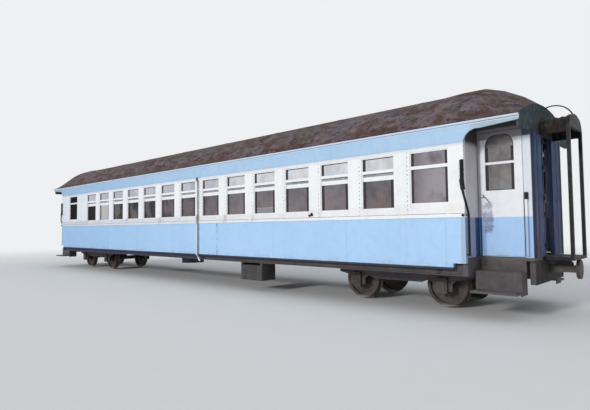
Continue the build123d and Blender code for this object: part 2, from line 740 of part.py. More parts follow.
def wheelset_solid():
    """An axle with its two wheels, turned as one profile about the axle's line."""
    back = BACK_TO_BACK / 2
    flange = back + FLANGE_WIDTH
    face = back + TYRE_WIDTH
    rim_inner = WHEEL_RADIUS - TYRE_THICKNESS
    disc_in = back + (TYRE_WIDTH - WHEEL_DISC) / 2
    disc_out = disc_in + WHEEL_DISC
    hub_in = back + (TYRE_WIDTH - HUB_WIDTH) / 2
    hub_out = hub_in + HUB_WIDTH
    outer_radius = WHEEL_RADIUS + FLANGE_DEPTH
    # Each row is a place along the axle and a radius, from the middle outwards.
    rows = [
        (0, 0), (0, AXLE_RADIUS), (hub_in, AXLE_RADIUS), (hub_in, HUB_RADIUS), (disc_in, HUB_RADIUS),
        (disc_in, rim_inner), (back, rim_inner), (back, outer_radius - FLANGE_BEVEL),
        (back + FLANGE_BEVEL, outer_radius), (flange - FLANGE_ROOT, outer_radius),
        (flange, WHEEL_RADIUS + TREAD_CONE), (face, WHEEL_RADIUS - TREAD_CONE),
        (face, rim_inner), (disc_out, rim_inner), (disc_out, HUB_RADIUS), (hub_out, HUB_RADIUS),
        (hub_out, AXLE_RADIUS), (JOURNAL_START, AXLE_RADIUS), (JOURNAL_START, JOURNAL_RADIUS),
        (JOURNAL_END, JOURNAL_RADIUS), (JOURNAL_END, 0), (0, 0),
    ]
    plane = Plane(origin=(0, 0, 0), x_dir=(0, 1, 0), z_dir=(-1, 0, 0))
    half = revolve(plane * make_face(Polyline(*rows)), axis=Axis.Y)
    return half + mirror(half, about=Plane.XZ)


def side_frame(side):
    """One side frame of a bogie: a plate with a deeper middle and two horns at each axle."""
    top = SIDE_FRAME_TOP
    bottom = SIDE_FRAME_BOTTOM
    half = BOGIE_LENGTH / 2
    gap = AXLEBOX_WIDTH / 2 + AXLEBOX_SLACK
    axle = WHEELBASE / 2
    near = axle - gap - HORN_WIDTH
    far = axle + gap + HORN_WIDTH
    neck = bottom + AXLEBOX_NECK
    # The outline's right half as places and heights, from the top of the tip to the middle.
    right = [
        (half, top), (half, bottom + FRAME_TIP_RISE), (far + HORN_FLARE, bottom),
        (far, bottom - HORN_FLARE), (far, HORN_BOTTOM), (axle + gap, HORN_BOTTOM), (axle + gap, neck),
        (axle - gap, neck), (axle - gap, HORN_BOTTOM), (near, HORN_BOTTOM),
        (near, bottom - HORN_FLARE), (near - BELLY_START, bottom),
        (near - BELLY_END, SIDE_FRAME_MIDDLE_BOTTOM),
    ]
    left = [(-x, z) for x, z in reversed(right)]
    outline = Polyline(*right, *left, right[0])
    inner = side * (SIDE_FRAME_PLACE - SIDE_FRAME_THICKNESS / 2)
    outer = side * (SIDE_FRAME_PLACE + SIDE_FRAME_THICKNESS / 2)
    return prism_along_y(make_face(outline), inner, outer)


def bogie_frame():
    """Side frames, transoms, headstocks, bolster and pivot plate of a bogie at X zero."""
    inner = SIDE_FRAME_PLACE - SIDE_FRAME_THICKNESS / 2
    pieces = [side_frame(-1), side_frame(1)]
    for end in (-1, 1):
        x = end * TRANSOM_PLACE
        pieces.append(block(x, x + end * TRANSOM_WIDTH, -inner, inner,
                            SIDE_FRAME_TOP - TRANSOM_DEPTH, SIDE_FRAME_TOP))
        tip = end * BOGIE_LENGTH / 2
        pieces.append(block(tip, tip - end * BOGIE_HEADSTOCK, -inner, inner,
                            SIDE_FRAME_BOTTOM + FRAME_TIP_RISE, SIDE_FRAME_TOP))
    pivot_top = body_bolster_bottom() - PIVOT_GAP
    bolster_top = SIDE_FRAME_TOP + BOGIE_BOLSTER_RISE
    reach = BOGIE_BOLSTER_WIDTH / 2
    pieces.append(block(-TRANSOM_PLACE, TRANSOM_PLACE, -inner, inner, bolster_top - BOGIE_BOLSTER_DEPTH,
                        SIDE_FRAME_TOP))
    pieces.append(block(-reach, reach, -inner, inner, SIDE_FRAME_TOP, bolster_top))
    plate_height = pivot_top - bolster_top
    pieces.append(Pos(0, 0, bolster_top + plate_height / 2) * Cylinder(PIVOT_RADIUS, plate_height))
    return fuse(pieces)


def axlebox(x, side):
    """An axlebox round the journal with a stack of leaves that carries the side frame."""
    middle = SIDE_FRAME_PLACE
    inner = side * (middle - AXLEBOX_DEPTH / 2)
    outer = side * (middle + AXLEBOX_DEPTH / 2)
    low = AXLE_HEIGHT - AXLEBOX_HEIGHT / 2
    high = SIDE_FRAME_BOTTOM + AXLEBOX_NECK
    outline = Pos(x, (low + high) / 2) * RectangleRounded(AXLEBOX_WIDTH, high - low, AXLEBOX_CORNER)
    body = prism_along_y(outline, inner, outer)
    bore_plane = Plane(origin=(x, inner - side, AXLE_HEIGHT), z_dir=(0, side, 0))
    bore_length = JOURNAL_END - side * inner + 2
    bore = extrude(bore_plane * Circle(JOURNAL_RADIUS + JOURNAL_CLEARANCE), amount=bore_length)
    return body - bore


def leaf_face(row, base, radius):
    """One curved leaf in X and Z: concentric arcs whose ends stand higher than the middle."""
    reach = LEAF_LENGTH / 2 * (1 - row / (LEAF_COUNT + 1))
    top = base + (LEAF_COUNT - row) * LEAF_THICKNESS
    upper_radius = radius + row * LEAF_THICKNESS
    lower_radius = upper_radius + LEAF_THICKNESS
    top_end = top + upper_radius - math.sqrt(upper_radius**2 - reach**2)
    low_end = top + upper_radius - math.sqrt(lower_radius**2 - reach**2)
    upper = ThreePointArc((-reach, top_end), (0, top), (reach, top_end))
    lower = ThreePointArc((reach, low_end), (0, top - LEAF_THICKNESS), (-reach, low_end))
    return make_face([upper, Line((reach, top_end), (reach, low_end)), lower,
                      Line((-reach, low_end), (-reach, top_end))])


def leaf_spring_solid():
    """A spring at X zero on the right side frame: leaves, the band round them and two hangers."""
    half = LEAF_LENGTH / 2
    radius = (half**2 + LEAF_CAMBER**2) / (2 * LEAF_CAMBER)
    outer = -(SIDE_FRAME_PLACE + LEAF_WIDTH / 2)
    inner = -(SIDE_FRAME_PLACE - LEAF_WIDTH / 2)
    base = SIDE_FRAME_TOP + LEAF_SEAT
    pieces = [prism_along_y(leaf_face(row, base, radius), outer, inner) for row in range(LEAF_COUNT)]
    stack_top = base + LEAF_COUNT * LEAF_THICKNESS
    pieces.append(block(-LEAF_BAND / 2, LEAF_BAND / 2, outer - LEAF_BAND_PROUD, inner + LEAF_BAND_PROUD,
                        SIDE_FRAME_TOP, stack_top + LEAF_BAND_PROUD))
    for end in (-1, 1):
        pieces.append(block(end * half, end * (half - LEAF_HANGER), outer, inner,
                            SIDE_FRAME_TOP, stack_top + LEAF_CAMBER - LEAF_THICKNESS))
    return fuse(pieces)


def equipment_box(end, side):
    """A closed box hung under the floor by two straps from the solebar."""
    x0 = end * (BOX_PLACE - BOX_LENGTH / 2)
    x1 = end * (BOX_PLACE + BOX_LENGTH / 2)
    outer = side * (WALL_INNER - SOLEBAR_WEB)
    inner = side * (WALL_INNER - SOLEBAR_WEB - BOX_DEPTH)
    top = FLOOR_BOTTOM - SOLEBAR_DEPTH
    pieces = [block(x0, x1, outer, inner, BOX_BOTTOM, top - HANGER)]
    for x in (x0, x1 - end * HANGER):
        pieces.append(block(x, x + end * HANGER, outer, inner, top - HANGER, top))
    return fuse(pieces)


def brake_cylinder(x):
    """A brake cylinder that hangs upright between the centre sills."""
    top = FLOOR_BOTTOM - SILL_DEPTH
    return Pos(x, 0, top - BRAKE_HEIGHT / 2) * Cylinder(BRAKE_RADIUS, BRAKE_HEIGHT)


def round_bar(points, radius, bend):
    """A round bar along straight runs joined by arcs of one radius."""
    path = FilletPolyline(*points, radius=bend) if bend else Line(*points)
    return sweep(Plane(origin=path @ 0, z_dir=path % 0) * Circle(radius), path=path)


def downpipe(end, side):
    """A rainwater pipe from the letterboard down the side, with a slanted spout at its foot."""
    x = end * PIPE_PLACE
    y = side * (HALF_WIDTH + PIPE_RADIUS)
    points = [(x, y, LETTERBOARD_BOTTOM), (x, y, SIDE_BOTTOM),
              (x + end * SPOUT_REACH, y, SIDE_BOTTOM - SPOUT_DROP)]
    return round_bar(points, PIPE_RADIUS, SPOUT_BEND)


def corner_rail(end, side):
    """The handrail of the body corner, down the side and round into the recess."""
    side_x = HALF - CORNER_RAIL_INSET
    side_y = -(HALF_WIDTH + RAIL_STANDOFF)
    recess_x = HALF + RAIL_STANDOFF + RAIL_STUB_RADIUS
    recess_y = CORNER_RAIL_RETURN - HALF_WIDTH
    points = [(side_x, side_y, CORNER_RAIL_TOP), (side_x, side_y, CORNER_RAIL_BEND),
              (HALF + CORNER_RAIL_ROUND, -HALF_WIDTH - CORNER_RAIL_ROUND, CORNER_RAIL_TURN),
              (recess_x, recess_y, CORNER_RAIL_STRAIGHT), (recess_x, recess_y, CORNER_RAIL_BOTTOM)]
    bar = round_bar(points, RAIL_RADIUS, CORNER_RAIL_RADIUS)
    stubs = []
    for z in (CORNER_RAIL_TOP - RAIL_RADIUS, CORNER_RAIL_BEND + RAIL_RADIUS):
        stubs.append(round_bar([(side_x, -HALF_WIDTH, z), (side_x, side_y, z)], RAIL_STUB_RADIUS, 0))
    for z in (CORNER_RAIL_STRAIGHT - RAIL_RADIUS, CORNER_RAIL_BOTTOM + RAIL_RADIUS):
        stubs.append(round_bar([(HALF, recess_y, z), (recess_x, recess_y, z)], RAIL_STUB_RADIUS, 0))
    return at_corner(fuse([bar] + stubs), end, side)


def post_rail(end, side):
    """The upright grab rail on the corner post of the vestibule."""
    x = END_FACE - POST_RAIL_INSET
    out = -(VESTIBULE_HALF + RAIL_STANDOFF)
    bar = round_bar([(x, out, POST_RAIL_TOP), (x, out, POST_RAIL_BOTTOM)], RAIL_RADIUS, 0)
    stubs = []
    for z in (POST_RAIL_TOP - RAIL_RADIUS, POST_RAIL_BOTTOM + RAIL_RADIUS):
        stubs.append(round_bar([(x, -VESTIBULE_HALF, z), (x, out, z)], RAIL_STUB_RADIUS, 0))
    return at_corner(fuse([bar] + stubs), end, side)


def seat_unit(x, side):
    """Two wooden benches back to back between the side wall and the aisle."""
    wall = side * WALL_INNER
    aisle = side * (WALL_INNER - SEAT_WIDTH)
    half_back = SEAT_BACK_THICKNESS / 2
    reach = half_back + SEAT_REACH
    seat_top = FLOOR_TOP + SEAT_HEIGHT
    back = block(x - half_back, x + half_back, wall, aisle, FLOOR_TOP, FLOOR_TOP + SEAT_BACK_TOP)
    board = block(x - reach, x + reach, wall, aisle, seat_top - SEAT_BOARD, seat_top)
    legs = []
    for end in (-1, 1):
        foot = x + end * (reach - SEAT_LEG)
        legs.append(block(foot, foot - end * SEAT_LEG, wall, aisle, FLOOR_TOP, seat_top - SEAT_BOARD))
    return fuse([back, board] + legs)


def seat_places():
    """The middles of the bench units along the saloon."""
    first = -SEAT_PITCH * (SEAT_UNIT_COUNT - 1) / 2
    return [first + SEAT_PITCH * i for i in range(SEAT_UNIT_COUNT)]


save("solebars", [solebar(side) for _, side in SIDES])
save("centre_sills", centre_sills())
save("cross_members", cross_members())
save("floor", [floor_deck()])
save("roof", [main_roof()])

for side_name, side in SIDES:
    save(f"side_panels_{side_name}", [side_panels(side)])
    save(f"window_band_{side_name}", [window_band(side)])
    save(f"letterboard_{side_name}", [letterboard(side)])
    save(f"window_sashes_{side_name}", [window_sash(x, side) for x in WINDOW_PLACES])
    panes = []
    for x in WINDOW_PLACES:
        panes.extend(window_panes(x, side))
    save(f"window_glass_{side_name}", panes)
    save(f"benches_{side_name}", [seat_unit(x, side) for x in seat_places()])

roof_end_front = roof_end()
bogie_at_zero = bogie_frame()
wheelset_at_zero = wheelset_solid()
spring_at_zero = leaf_spring_solid()

for end_name, end in ENDS:
    save(f"roof_end_{end_name}", [at_corner(roof_end_front, end, -1)])
    save(f"bulkhead_{end_name}", [bulkhead(end)])
    save(f"end_wall_{end_name}", [end_wall(end)])
    save(f"door_frames_{end_name}", [door_frame(end, side) for _, side in SIDES])
    save(f"steps_{end_name}", [steps(end, side) for _, side in SIDES])
    save(f"gangway_frame_{end_name}", [gangway_frame(end)])
    save(f"gangway_hood_{end_name}", [gangway_hood(end)])
    save(f"coupler_{end_name}", [coupler(end)])
    for side_name, side in SIDES:
        save(f"door_{end_name}_{side_name}", [at_corner(side_door(), end, side)])
        door_glass = [at_corner(pane, end, side) for pane in door_panes()]
        save(f"door_glass_{end_name}_{side_name}", door_glass)
    centre = end * BOGIE_CENTRE
    save(f"bogie_frame_{end_name}", [Pos(centre, 0, 0) * bogie_at_zero])
    boxes = []
    springs = []
    for axle in (-1, 1):
        for _, side in SIDES:
            boxes.append(axlebox(centre + axle * WHEELBASE / 2, side))
            springs.append(Pos(centre + axle * WHEELBASE / 2, 0, 0) * at_corner(spring_at_zero, 1, side))
    save(f"axleboxes_{end_name}", boxes)
    save(f"leaf_springs_{end_name}", springs)
    for axle_name, axle in (("outer", 1), ("inner", -1)):
        place = centre + end * axle * WHEELBASE / 2
        save(f"wheelset_{end_name}_{axle_name}", [Pos(place, 0, AXLE_HEIGHT) * wheelset_at_zero])

rails = []
for _, end in ENDS:
    for _, side in SIDES:
        rails.append(corner_rail(end, side))
        rails.append(post_rail(end, side))
save("handrails", rails)
save("downpipes", [downpipe(end, side) for end, side in PIPED_CORNERS])
save("equipment_boxes", [equipment_box(end, side) for end, side in PIPED_CORNERS])
save("brake_cylinders", [brake_cylinder(CROSS_BEARER_PITCH), brake_cylinder(-CROSS_BEARER_PITCH)])
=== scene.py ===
import json
import math

import bpy
import numpy as np
from bpy.props import FloatProperty, FloatVectorProperty, PointerProperty
from bpy.types import Operator, Panel, PropertyGroup
from mathutils import Euler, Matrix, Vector


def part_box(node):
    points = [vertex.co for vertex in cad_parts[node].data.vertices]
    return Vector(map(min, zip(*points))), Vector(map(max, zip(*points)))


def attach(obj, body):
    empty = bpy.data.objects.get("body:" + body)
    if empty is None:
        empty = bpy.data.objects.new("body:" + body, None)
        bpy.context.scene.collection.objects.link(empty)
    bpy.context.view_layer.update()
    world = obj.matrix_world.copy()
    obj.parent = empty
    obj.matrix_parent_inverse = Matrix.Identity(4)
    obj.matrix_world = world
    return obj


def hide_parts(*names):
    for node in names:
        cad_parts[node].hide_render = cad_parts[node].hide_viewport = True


bl_info = {
    "name": "Passenger coach",
    "version": (1, 0, 0),
    "blender": (4, 5, 0),
    "location": "3D View > Sidebar > Coach",
    "description": "Finishes and trims a passenger coach around its solid model",
    "category": "Add Mesh",
}

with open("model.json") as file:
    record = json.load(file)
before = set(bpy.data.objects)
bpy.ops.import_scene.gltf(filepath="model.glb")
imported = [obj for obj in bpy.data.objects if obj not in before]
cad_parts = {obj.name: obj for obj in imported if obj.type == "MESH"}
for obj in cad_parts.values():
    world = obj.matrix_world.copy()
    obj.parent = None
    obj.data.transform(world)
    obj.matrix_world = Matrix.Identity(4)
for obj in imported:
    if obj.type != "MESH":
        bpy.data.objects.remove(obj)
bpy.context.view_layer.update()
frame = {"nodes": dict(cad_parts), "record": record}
NODES = frame["nodes"]

ENDS = (("front", 1), ("rear", -1))
SIDES = (("right", -1), ("left", 1))
FORWARD, RIGHTWARD, UPWARD, DOWNWARD = (1, 0, 0), (0, -1, 0), (0, 0, 1), (0, 0, -1)

# Levels and places read from the solids, in metres. +X is the front end, -Y the right side.
PANEL_LOW, PANEL_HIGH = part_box("side_panels_right")
SASH_LOW, SASH_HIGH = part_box("window_sashes_right")
ROOF_LOW, ROOF_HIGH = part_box("roof")
HOOP_LOW, HOOP_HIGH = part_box("gangway_frame_front")
HALF = PANEL_HIGH.x
HALF_WIDTH = -PANEL_LOW.y
SIDE_BOTTOM = PANEL_LOW.z
WAIST, LETTERBOARD_BOTTOM = (corner.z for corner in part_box("window_band_right"))
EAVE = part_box("letterboard_right")[1].z
END_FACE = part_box("end_wall_front")[1].x
HEADSTOCK_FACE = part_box("cross_members")[1].x
VESTIBULE_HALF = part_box("door_frames_front")[1].y
FLOOR_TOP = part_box("floor")[1].z

# Sizes of the solid model that its boxes don't show.
BELT_RAIL_TOP = WAIST + 0.060
TRANSOM_CENTRE = 2.450
TRANSOM_BAR = 0.054
TRANSOM_TOP = TRANSOM_CENTRE + TRANSOM_BAR / 2
TRANSOM_BOTTOM = TRANSOM_CENTRE - TRANSOM_BAR / 2
SASH_BAR = 0.020
DROP_SASH_TOP = 2.370
DROP_SASH_RAIL = 0.080
JOINT_INSET = 0.050
SEAM_PLACE = 1.796
GUTTER_HEIGHT = 0.028
PIPE_PLACE = 0.977
PIPE_RADIUS = 0.022
STEP_TOPS = (0.740, 0.450)
BOGIE_AXLES = (-0.9, 0.9)

# Places of paint edges.
PALE_BAND = 0.052
LOCK_EDGE = 8.105
HEAD_SHADE = 2.850
NAIL_PITCH = 0.075

# Places of trim.
CORNER_CLEAR = 0.3
FOOT_END = HALF - 0.215
BATTEN_SHIFT = 0.016
LATH_BOTTOM, LATH_TOP = 1.893, 1.918
KNOB_X, KNOB_Z = HALF + 0.078, 1.940
DOOR_END = HALF + 0.700
DRIP_HEIGHT = 0.990
POST_BRACKET = 1.860
END_DOOR_HALF, END_DOOR_TOP = 0.270, 2.950
PIPE_STRAPS = (2.62, 1.92, 1.36, 0.98)
HORN_BOLTS = (0.345, 0.415, 0.485)

# Stage.
BACKGROUND = (0.86, 0.87, 0.88)
FLOOR_REACH = 160.0
FADE_START, FADE_STOP = 10.0, 30.0


def window_edges():
    """The four upright edges of each window's sash along the coach, one row for each window."""
    sashes = NODES["window_sashes_right"].data
    corners = np.zeros(len(sashes.vertices) * 3, np.float32)
    sashes.vertices.foreach_get("co", corners)
    return np.unique(corners.reshape(-1, 3)[:, 0].round(4)).reshape(-1, 4)


WINDOW_EDGES = window_edges()
WINDOW_MIDDLES = WINDOW_EDGES.mean(axis=1)
WINDOW_HALF = float(WINDOW_EDGES[0, 3] - WINDOW_EDGES[0, 0]) / 2
WINDOW_PITCH = float(WINDOW_MIDDLES[3] - WINDOW_MIDDLES[2])
PANE_HALF = WINDOW_HALF - SASH_BAR
# The windows at both ends of the row have no drop sash.
DROP_SASH_MIDDLES = WINDOW_MIDDLES[1:-1]
REAR_WINDOW, FRONT_WINDOW = float(WINDOW_MIDDLES[0]), float(WINDOW_MIDDLES[-1])
# One window towards the rear has a blind, and one towards the front a lath across its pane.
BLIND_MIDDLE = float(WINDOW_MIDDLES[2])
LATH_MIDDLE = float(WINDOW_MIDDLES[10])


class CoachSettings(PropertyGroup):
    """The sizes and colours of the coach that can be changed."""

    light_blue: FloatVectorProperty(
        name="Light blue", description="Lower panels, letterboards and doors below the waist",
        subtype="COLOR", size=3, min=0, max=1, default=(0.398, 0.612, 0.868))
    white: FloatVectorProperty(
        name="White", description="Window band and doors above the waist",
        subtype="COLOR", size=3, min=0, max=1, default=(0.852, 0.860, 0.856))
    roof_brown: FloatVectorProperty(
        name="Roof brown", description="Main colour of the sooty roof",
        subtype="COLOR", size=3, min=0, max=1, default=(0.080, 0.047, 0.045))
    slate_blue: FloatVectorProperty(
        name="Slate blue", description="Main colour of the end walls",
        subtype="COLOR", size=3, min=0, max=1, default=(0.024, 0.060, 0.160))
    black: FloatVectorProperty(
        name="Black", description="Gangway hoops and handrails",
        subtype="COLOR", size=3, min=0, max=1, default=(0.006, 0.006, 0.009))
    dust: FloatVectorProperty(
        name="Dust", description="Brake dust and mud on everything under the floor",
        subtype="COLOR", size=3, min=0, max=1, default=(0.074, 0.063, 0.066))
    batten_width: FloatProperty(
        name="Batten width", description="Width of the cover strips over the joints of the window band",
        unit="LENGTH", min=0.005, max=0.06, default=0.020)
    batten_proud: FloatProperty(
        name="Batten height", description="How far those cover strips stand off",
        unit="LENGTH", min=0.001, max=0.02, default=0.003)
    rivet_radius: FloatProperty(
        name="Rivet radius", description="Radius of the round rivet heads under the solebars",
        unit="LENGTH", min=0.002, max=0.03, default=0.009)
    rivet_pitch: FloatProperty(
        name="Rivet pitch", description="Distance between neighbouring rivets",
        unit="LENGTH", min=0.03, max=0.5, default=0.11)
    hood_pleats: FloatProperty(
        name="Hood pleat depth", description="Depth of the folds in the canvas hood",
        unit="LENGTH", min=0, max=0.05, default=0.016)


def settings():
    """The coach's settings in the open scene."""
    return bpy.context.scene.coach_settings


# Shapes. A shape is a tuple of points (n, 3), quads (m, 4) and triangles (k, 3).


def no_faces(sides):
    """An empty table of faces with that many corners."""
    return np.zeros((0, sides), int)


def merge(shapes):
    """Several shapes as one."""
    points, quads, tris, start = [], [], [], 0
    for shape in shapes:
        points.append(shape[0])
        quads.append(shape[1] + start)
        tris.append(shape[2] + start)
        start += len(shape[0])
    return np.concatenate(points), np.concatenate(quads), np.concatenate(tris)


def mirrored(shape, axis):
    """A shape mirrored across the plane where one coordinate is zero, its faces still outward."""
    flip = np.ones(3)
    flip[axis] = -1
    return shape[0] * flip, shape[1][:, ::-1], shape[2][:, ::-1]


def moved(shape, offset):
    """A shape shifted by an offset."""
    return shape[0] + np.asarray(offset, float), shape[1], shape[2]


def replicate(shape, places):
    """One copy of a shape at each place: its points plus the place, as whole arrays."""
    places = np.asarray(places, float).reshape(-1, 3)
    points, quads, tris = shape
    step = (np.arange(len(places)) * len(points))[:, None, None]
    all_points = (points[None] + places[:, None]).reshape(-1, 3)
    return all_points, (quads[None] + step).reshape(-1, 4), (tris[None] + step).reshape(-1, 3)


def places_at(x, y=0.0, z=0.0):
    """Places from their coordinates, each an array or one number for all."""
    return np.stack(np.broadcast_arrays(x, y, z), -1).astype(float)


def row_of(start, stop, pitch, y, z):
    """Evenly spaced places along X, as near as can be to a pitch."""
    count = max(2, int(round(abs(stop - start) / pitch)) + 1)
    return places_at(np.linspace(start, stop, count), y, z)


def on_both_sides(shape):
    """A shape of the right side together with its mirror image on the left."""
    return merge([shape, mirrored(shape, 1)])


def at_both_ends(shape):
    """A shape of the front end together with its mirror image at the rear."""
    return merge([shape, mirrored(shape, 0)])


def at_all_corners(shape):
    """A shape of the front right corner together with its mirror images at the other three."""
    return at_both_ends(on_both_sides(shape))


def at_corner(shape, end, side):
    """A shape of the front right corner, mirrored to another corner."""
    if end < 0:
        shape = mirrored(shape, 0)
    if side > 0:
        shape = mirrored(shape, 1)
    return shape


def grid_faces(rows, columns, wrap_rows=False, wrap_columns=False):
    """The quads of a grid of points numbered row by row."""
    row = np.arange(rows if wrap_rows else rows - 1)
    column = np.arange(columns if wrap_columns else columns - 1)
    r, c = np.meshgrid(row, column, indexing="ij")
    r2, c2 = (r + 1) % rows, (c + 1) % columns
    corners = [r * columns + c, r * columns + c2, r2 * columns + c2, r2 * columns + c]
    return np.stack(corners, -1).reshape(-1, 4)


def fan(start, count, turned):
    """The triangles that close a convex ring of points from its first point."""
    k = np.arange(1, count - 1)
    tris = np.stack([np.full(count - 2, start), start + k, start + k + 1], -1)
    return tris[:, ::-1] if turned else tris


def swept(profile, path, across, up, closed_path=False):
    """A profile carried along a path: point = path + u * across + v * up for each (u, v).

    The profile runs counter-clockwise with across to the right and up upward. Faces point outward
    whichever way the path runs. Open paths get flat caps.
    """
    profile, path = np.asarray(profile, float), np.asarray(path, float)
    across = np.broadcast_to(np.asarray(across, float), path.shape)
    up = np.broadcast_to(np.asarray(up, float), path.shape)
    points = (path[:, None] + profile[None, :, 0, None] * across[:, None]
              + profile[None, :, 1, None] * up[:, None])
    rows, columns = points.shape[:2]
    quads = grid_faces(rows, columns, wrap_rows=closed_path, wrap_columns=True)
    with_path = np.dot(np.cross(across[0], up[0]), path[1] - path[0]) > 0
    if not with_path:
        quads = quads[:, ::-1]
    tris = no_faces(3)
    if not closed_path:
        tris = np.concatenate([fan(0, columns, not with_path), fan((rows - 1) * columns, columns, with_path)])
    return points.reshape(-1, 3), quads, tris


def half_round(width, proud, steps=6):
    """A half-round moulding's profile, flat on its back: u = w/2 cos t, v = h sin t."""
    turn = np.linspace(0, math.pi, steps + 1)
    return np.stack([width / 2 * np.cos(turn), proud * np.sin(turn)], -1)


def chamfered(width, height, cut):
    """A rectangle centred on its base with its two upper corners cut."""
    half = width / 2
    return np.array([(half, 0), (half, height - cut), (half - cut, height),
                     (cut - half, height), (-half, height - cut), (-half, 0)])


def octagon(width, height, cut):
    """A rectangle round the origin with all its corners cut."""
    a, b = width / 2, height / 2
    return np.array([(a, cut - b), (a, b - cut), (a - cut, b), (cut - a, b),
                     (-a, b - cut), (-a, cut - b), (cut - a, -b), (a - cut, -b)])


def bar(low, high, cut=0.002):
    """A bar with chamfered edges between two opposite corners, swept along its longest side."""
    low, high = np.minimum(low, high).astype(float), np.maximum(low, high).astype(float)
    size, middle = high - low, (low + high) / 2
    axis = int(np.argmax(size))
    across, up = (axis + 1) % 3, (axis + 2) % 3
    start, stop = middle.copy(), middle.copy()
    start[axis], stop[axis] = low[axis], high[axis]
    return swept(octagon(size[across], size[up], cut), [start, stop], np.eye(3)[across], np.eye(3)[up])


def pad(x, y, z, cut=0.002):
    """A bar from its two edges along X, along Y and along Z."""
    return bar((x[0], y[0], z[0]), (x[1], y[1], z[1]), cut)


def upright(profile, x, y, bottom, top):
    """A profile carried up the right side, its back towards the coach."""
    return swept(profile, [(x, y, bottom), (x, y, top)], FORWARD, RIGHTWARD)


def level(profile, start, stop, y, z):
    """A profile carried along the right side, its back towards the coach."""
    return swept(profile, [(start, y, z), (stop, y, z)], UPWARD, RIGHTWARD)


def ring(radius, width, height, middle, steps=16):
    """A flat band round an upright pipe: a small rectangle carried round a circle."""
    turn = np.linspace(0, 2 * math.pi, steps, endpoint=False)
    outward = np.stack([np.cos(turn), np.sin(turn), 0 * turn], -1)
    profile = [(0, -height / 2), (width, -height / 2), (width, height / 2), (0, height / 2)]
    path = np.asarray(middle, float) + radius * outward
    return swept(profile, path, outward, UPWARD, closed_path=True)


def lathe(rows, steps, axis):
    """A profile of (radius, height) rows turned about an axis that points outward from its foot.

    point = height * axis + radius * (cos t * a + sin t * b), with the last row at the axis.
    """
    axis, rows = np.asarray(axis, float), np.asarray(rows, float)
    helper = np.array([0.0, 0.0, 1.0]) if abs(axis[2]) < 0.9 else np.array([1.0, 0.0, 0.0])
    a = np.cross(helper, axis)
    a = a / np.linalg.norm(a)
    b = np.cross(axis, a)
    turn = np.linspace(0, 2 * math.pi, steps, endpoint=False)
    circle = np.cos(turn)[:, None] * a + np.sin(turn)[:, None] * b
    points = (rows[:-1, 0, None, None] * circle[None] + rows[:-1, 1, None, None] * axis).reshape(-1, 3)
    pole = len(points)
    points = np.concatenate([points, (rows[-1, 1] * axis)[None]])
    quads = grid_faces(len(rows) - 1, steps, wrap_columns=True)
    last, k = pole - steps, np.arange(steps)
    tris = np.stack([last + k, last + (k + 1) % steps, np.full(steps, pole)], -1)
    return points, quads, tris


def rivet(radius, axis):
    """A low round rivet head: radius r cos t, height 0.6 r sin t."""
    turn = np.linspace(0, math.pi / 2, 4)
    return lathe(np.stack([radius * np.cos(turn), 0.6 * radius * np.sin(turn)], -1), 8, axis)


def hex_bolt(radius, axis):
    """A six-sided bolt head on a round washer."""
    rows = [(1.5 * radius, 0), (1.5 * radius, 0.18 * radius), (radius, 0.2 * radius),
            (radius, 0.85 * radius), (0.8 * radius, radius), (0, radius)]
    return lathe(rows, 6, axis)


def build(name, shape, finish, body="root", smooth=False):
    """Puts a shape in the scene as one object with a finish, riding on a body."""
    points, quads, tris = shape
    mesh = bpy.data.meshes.new(name)
    mesh.vertices.add(len(points))
    mesh.vertices.foreach_set("co", np.asarray(points, np.float32).ravel())
    loops = np.concatenate([quads.ravel(), tris.ravel()]).astype(np.int32)
    starts = np.concatenate([np.arange(len(quads)) * 4, len(quads) * 4 + np.arange(len(tris)) * 3])
    mesh.loops.add(len(loops))
    mesh.loops.foreach_set("vertex_index", loops)
    mesh.polygons.add(len(starts))
    mesh.polygons.foreach_set("loop_start", starts.astype(np.int32))
    mesh.polygons.foreach_set("use_smooth", np.full(len(starts), smooth))
    mesh.update(calc_edges=True)
    mesh.validate()
    piece = bpy.data.objects.new(name, mesh)
    bpy.context.scene.collection.objects.link(piece)
    mesh.materials.append(material(finish))
    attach(piece, body)
    return piece


# Finishes. A noise is a tuple of scale, detail, roughness, stretch and shift.

ONE = (1, 1, 1)
GRIME = (0.30, 0.25, 0.21)
RUST = (0.28, 0.115, 0.045)
# Painted shade under the roof's overhang, for the tops of the recess walls and the end walls.
SHADE_UNDER_ROOF = (0.045, 0.045, 0.044)
DEEP_BLUE = (0.011, 0.054, 0.162)


class NodeTree:
    """Fills the node tree of a material or a world."""

    def __init__(self, owner):
        owner.use_nodes = True
        self.tree = owner.node_tree
        self.tree.nodes.clear()

    def add(self, kind, inputs=(), **attributes):
        """A new node with its attributes set and its inputs fed."""
        node = self.tree.nodes.new(kind)
        for key, value in attributes.items():
            setattr(node, key, value)
        for key, value in dict(inputs).items():
            self.feed(node.inputs[key], value)
        return node

    def feed(self, socket, value):
        """Links a socket, or sets its value."""
        if isinstance(value, bpy.types.NodeSocket):
            self.tree.links.new(value, socket)
        elif isinstance(socket, bpy.types.NodeSocketColor):
            socket.default_value = (*value, 1)
        else:
            socket.default_value = value

    def maths(self, operation, a, b=0.0):
        """One arithmetic step."""
        return self.add("ShaderNodeMath", {0: a, 1: b}, operation=operation).outputs[0]

    def seen_directly(self):
        """1 for camera, glossy and transmission rays."""
        rays = self.add("ShaderNodeLightPath").outputs
        seen = self.maths("MAXIMUM", rays["Is Camera Ray"], rays["Is Glossy Ray"])
        return self.maths("MAXIMUM", seen, rays["Is Transmission Ray"])


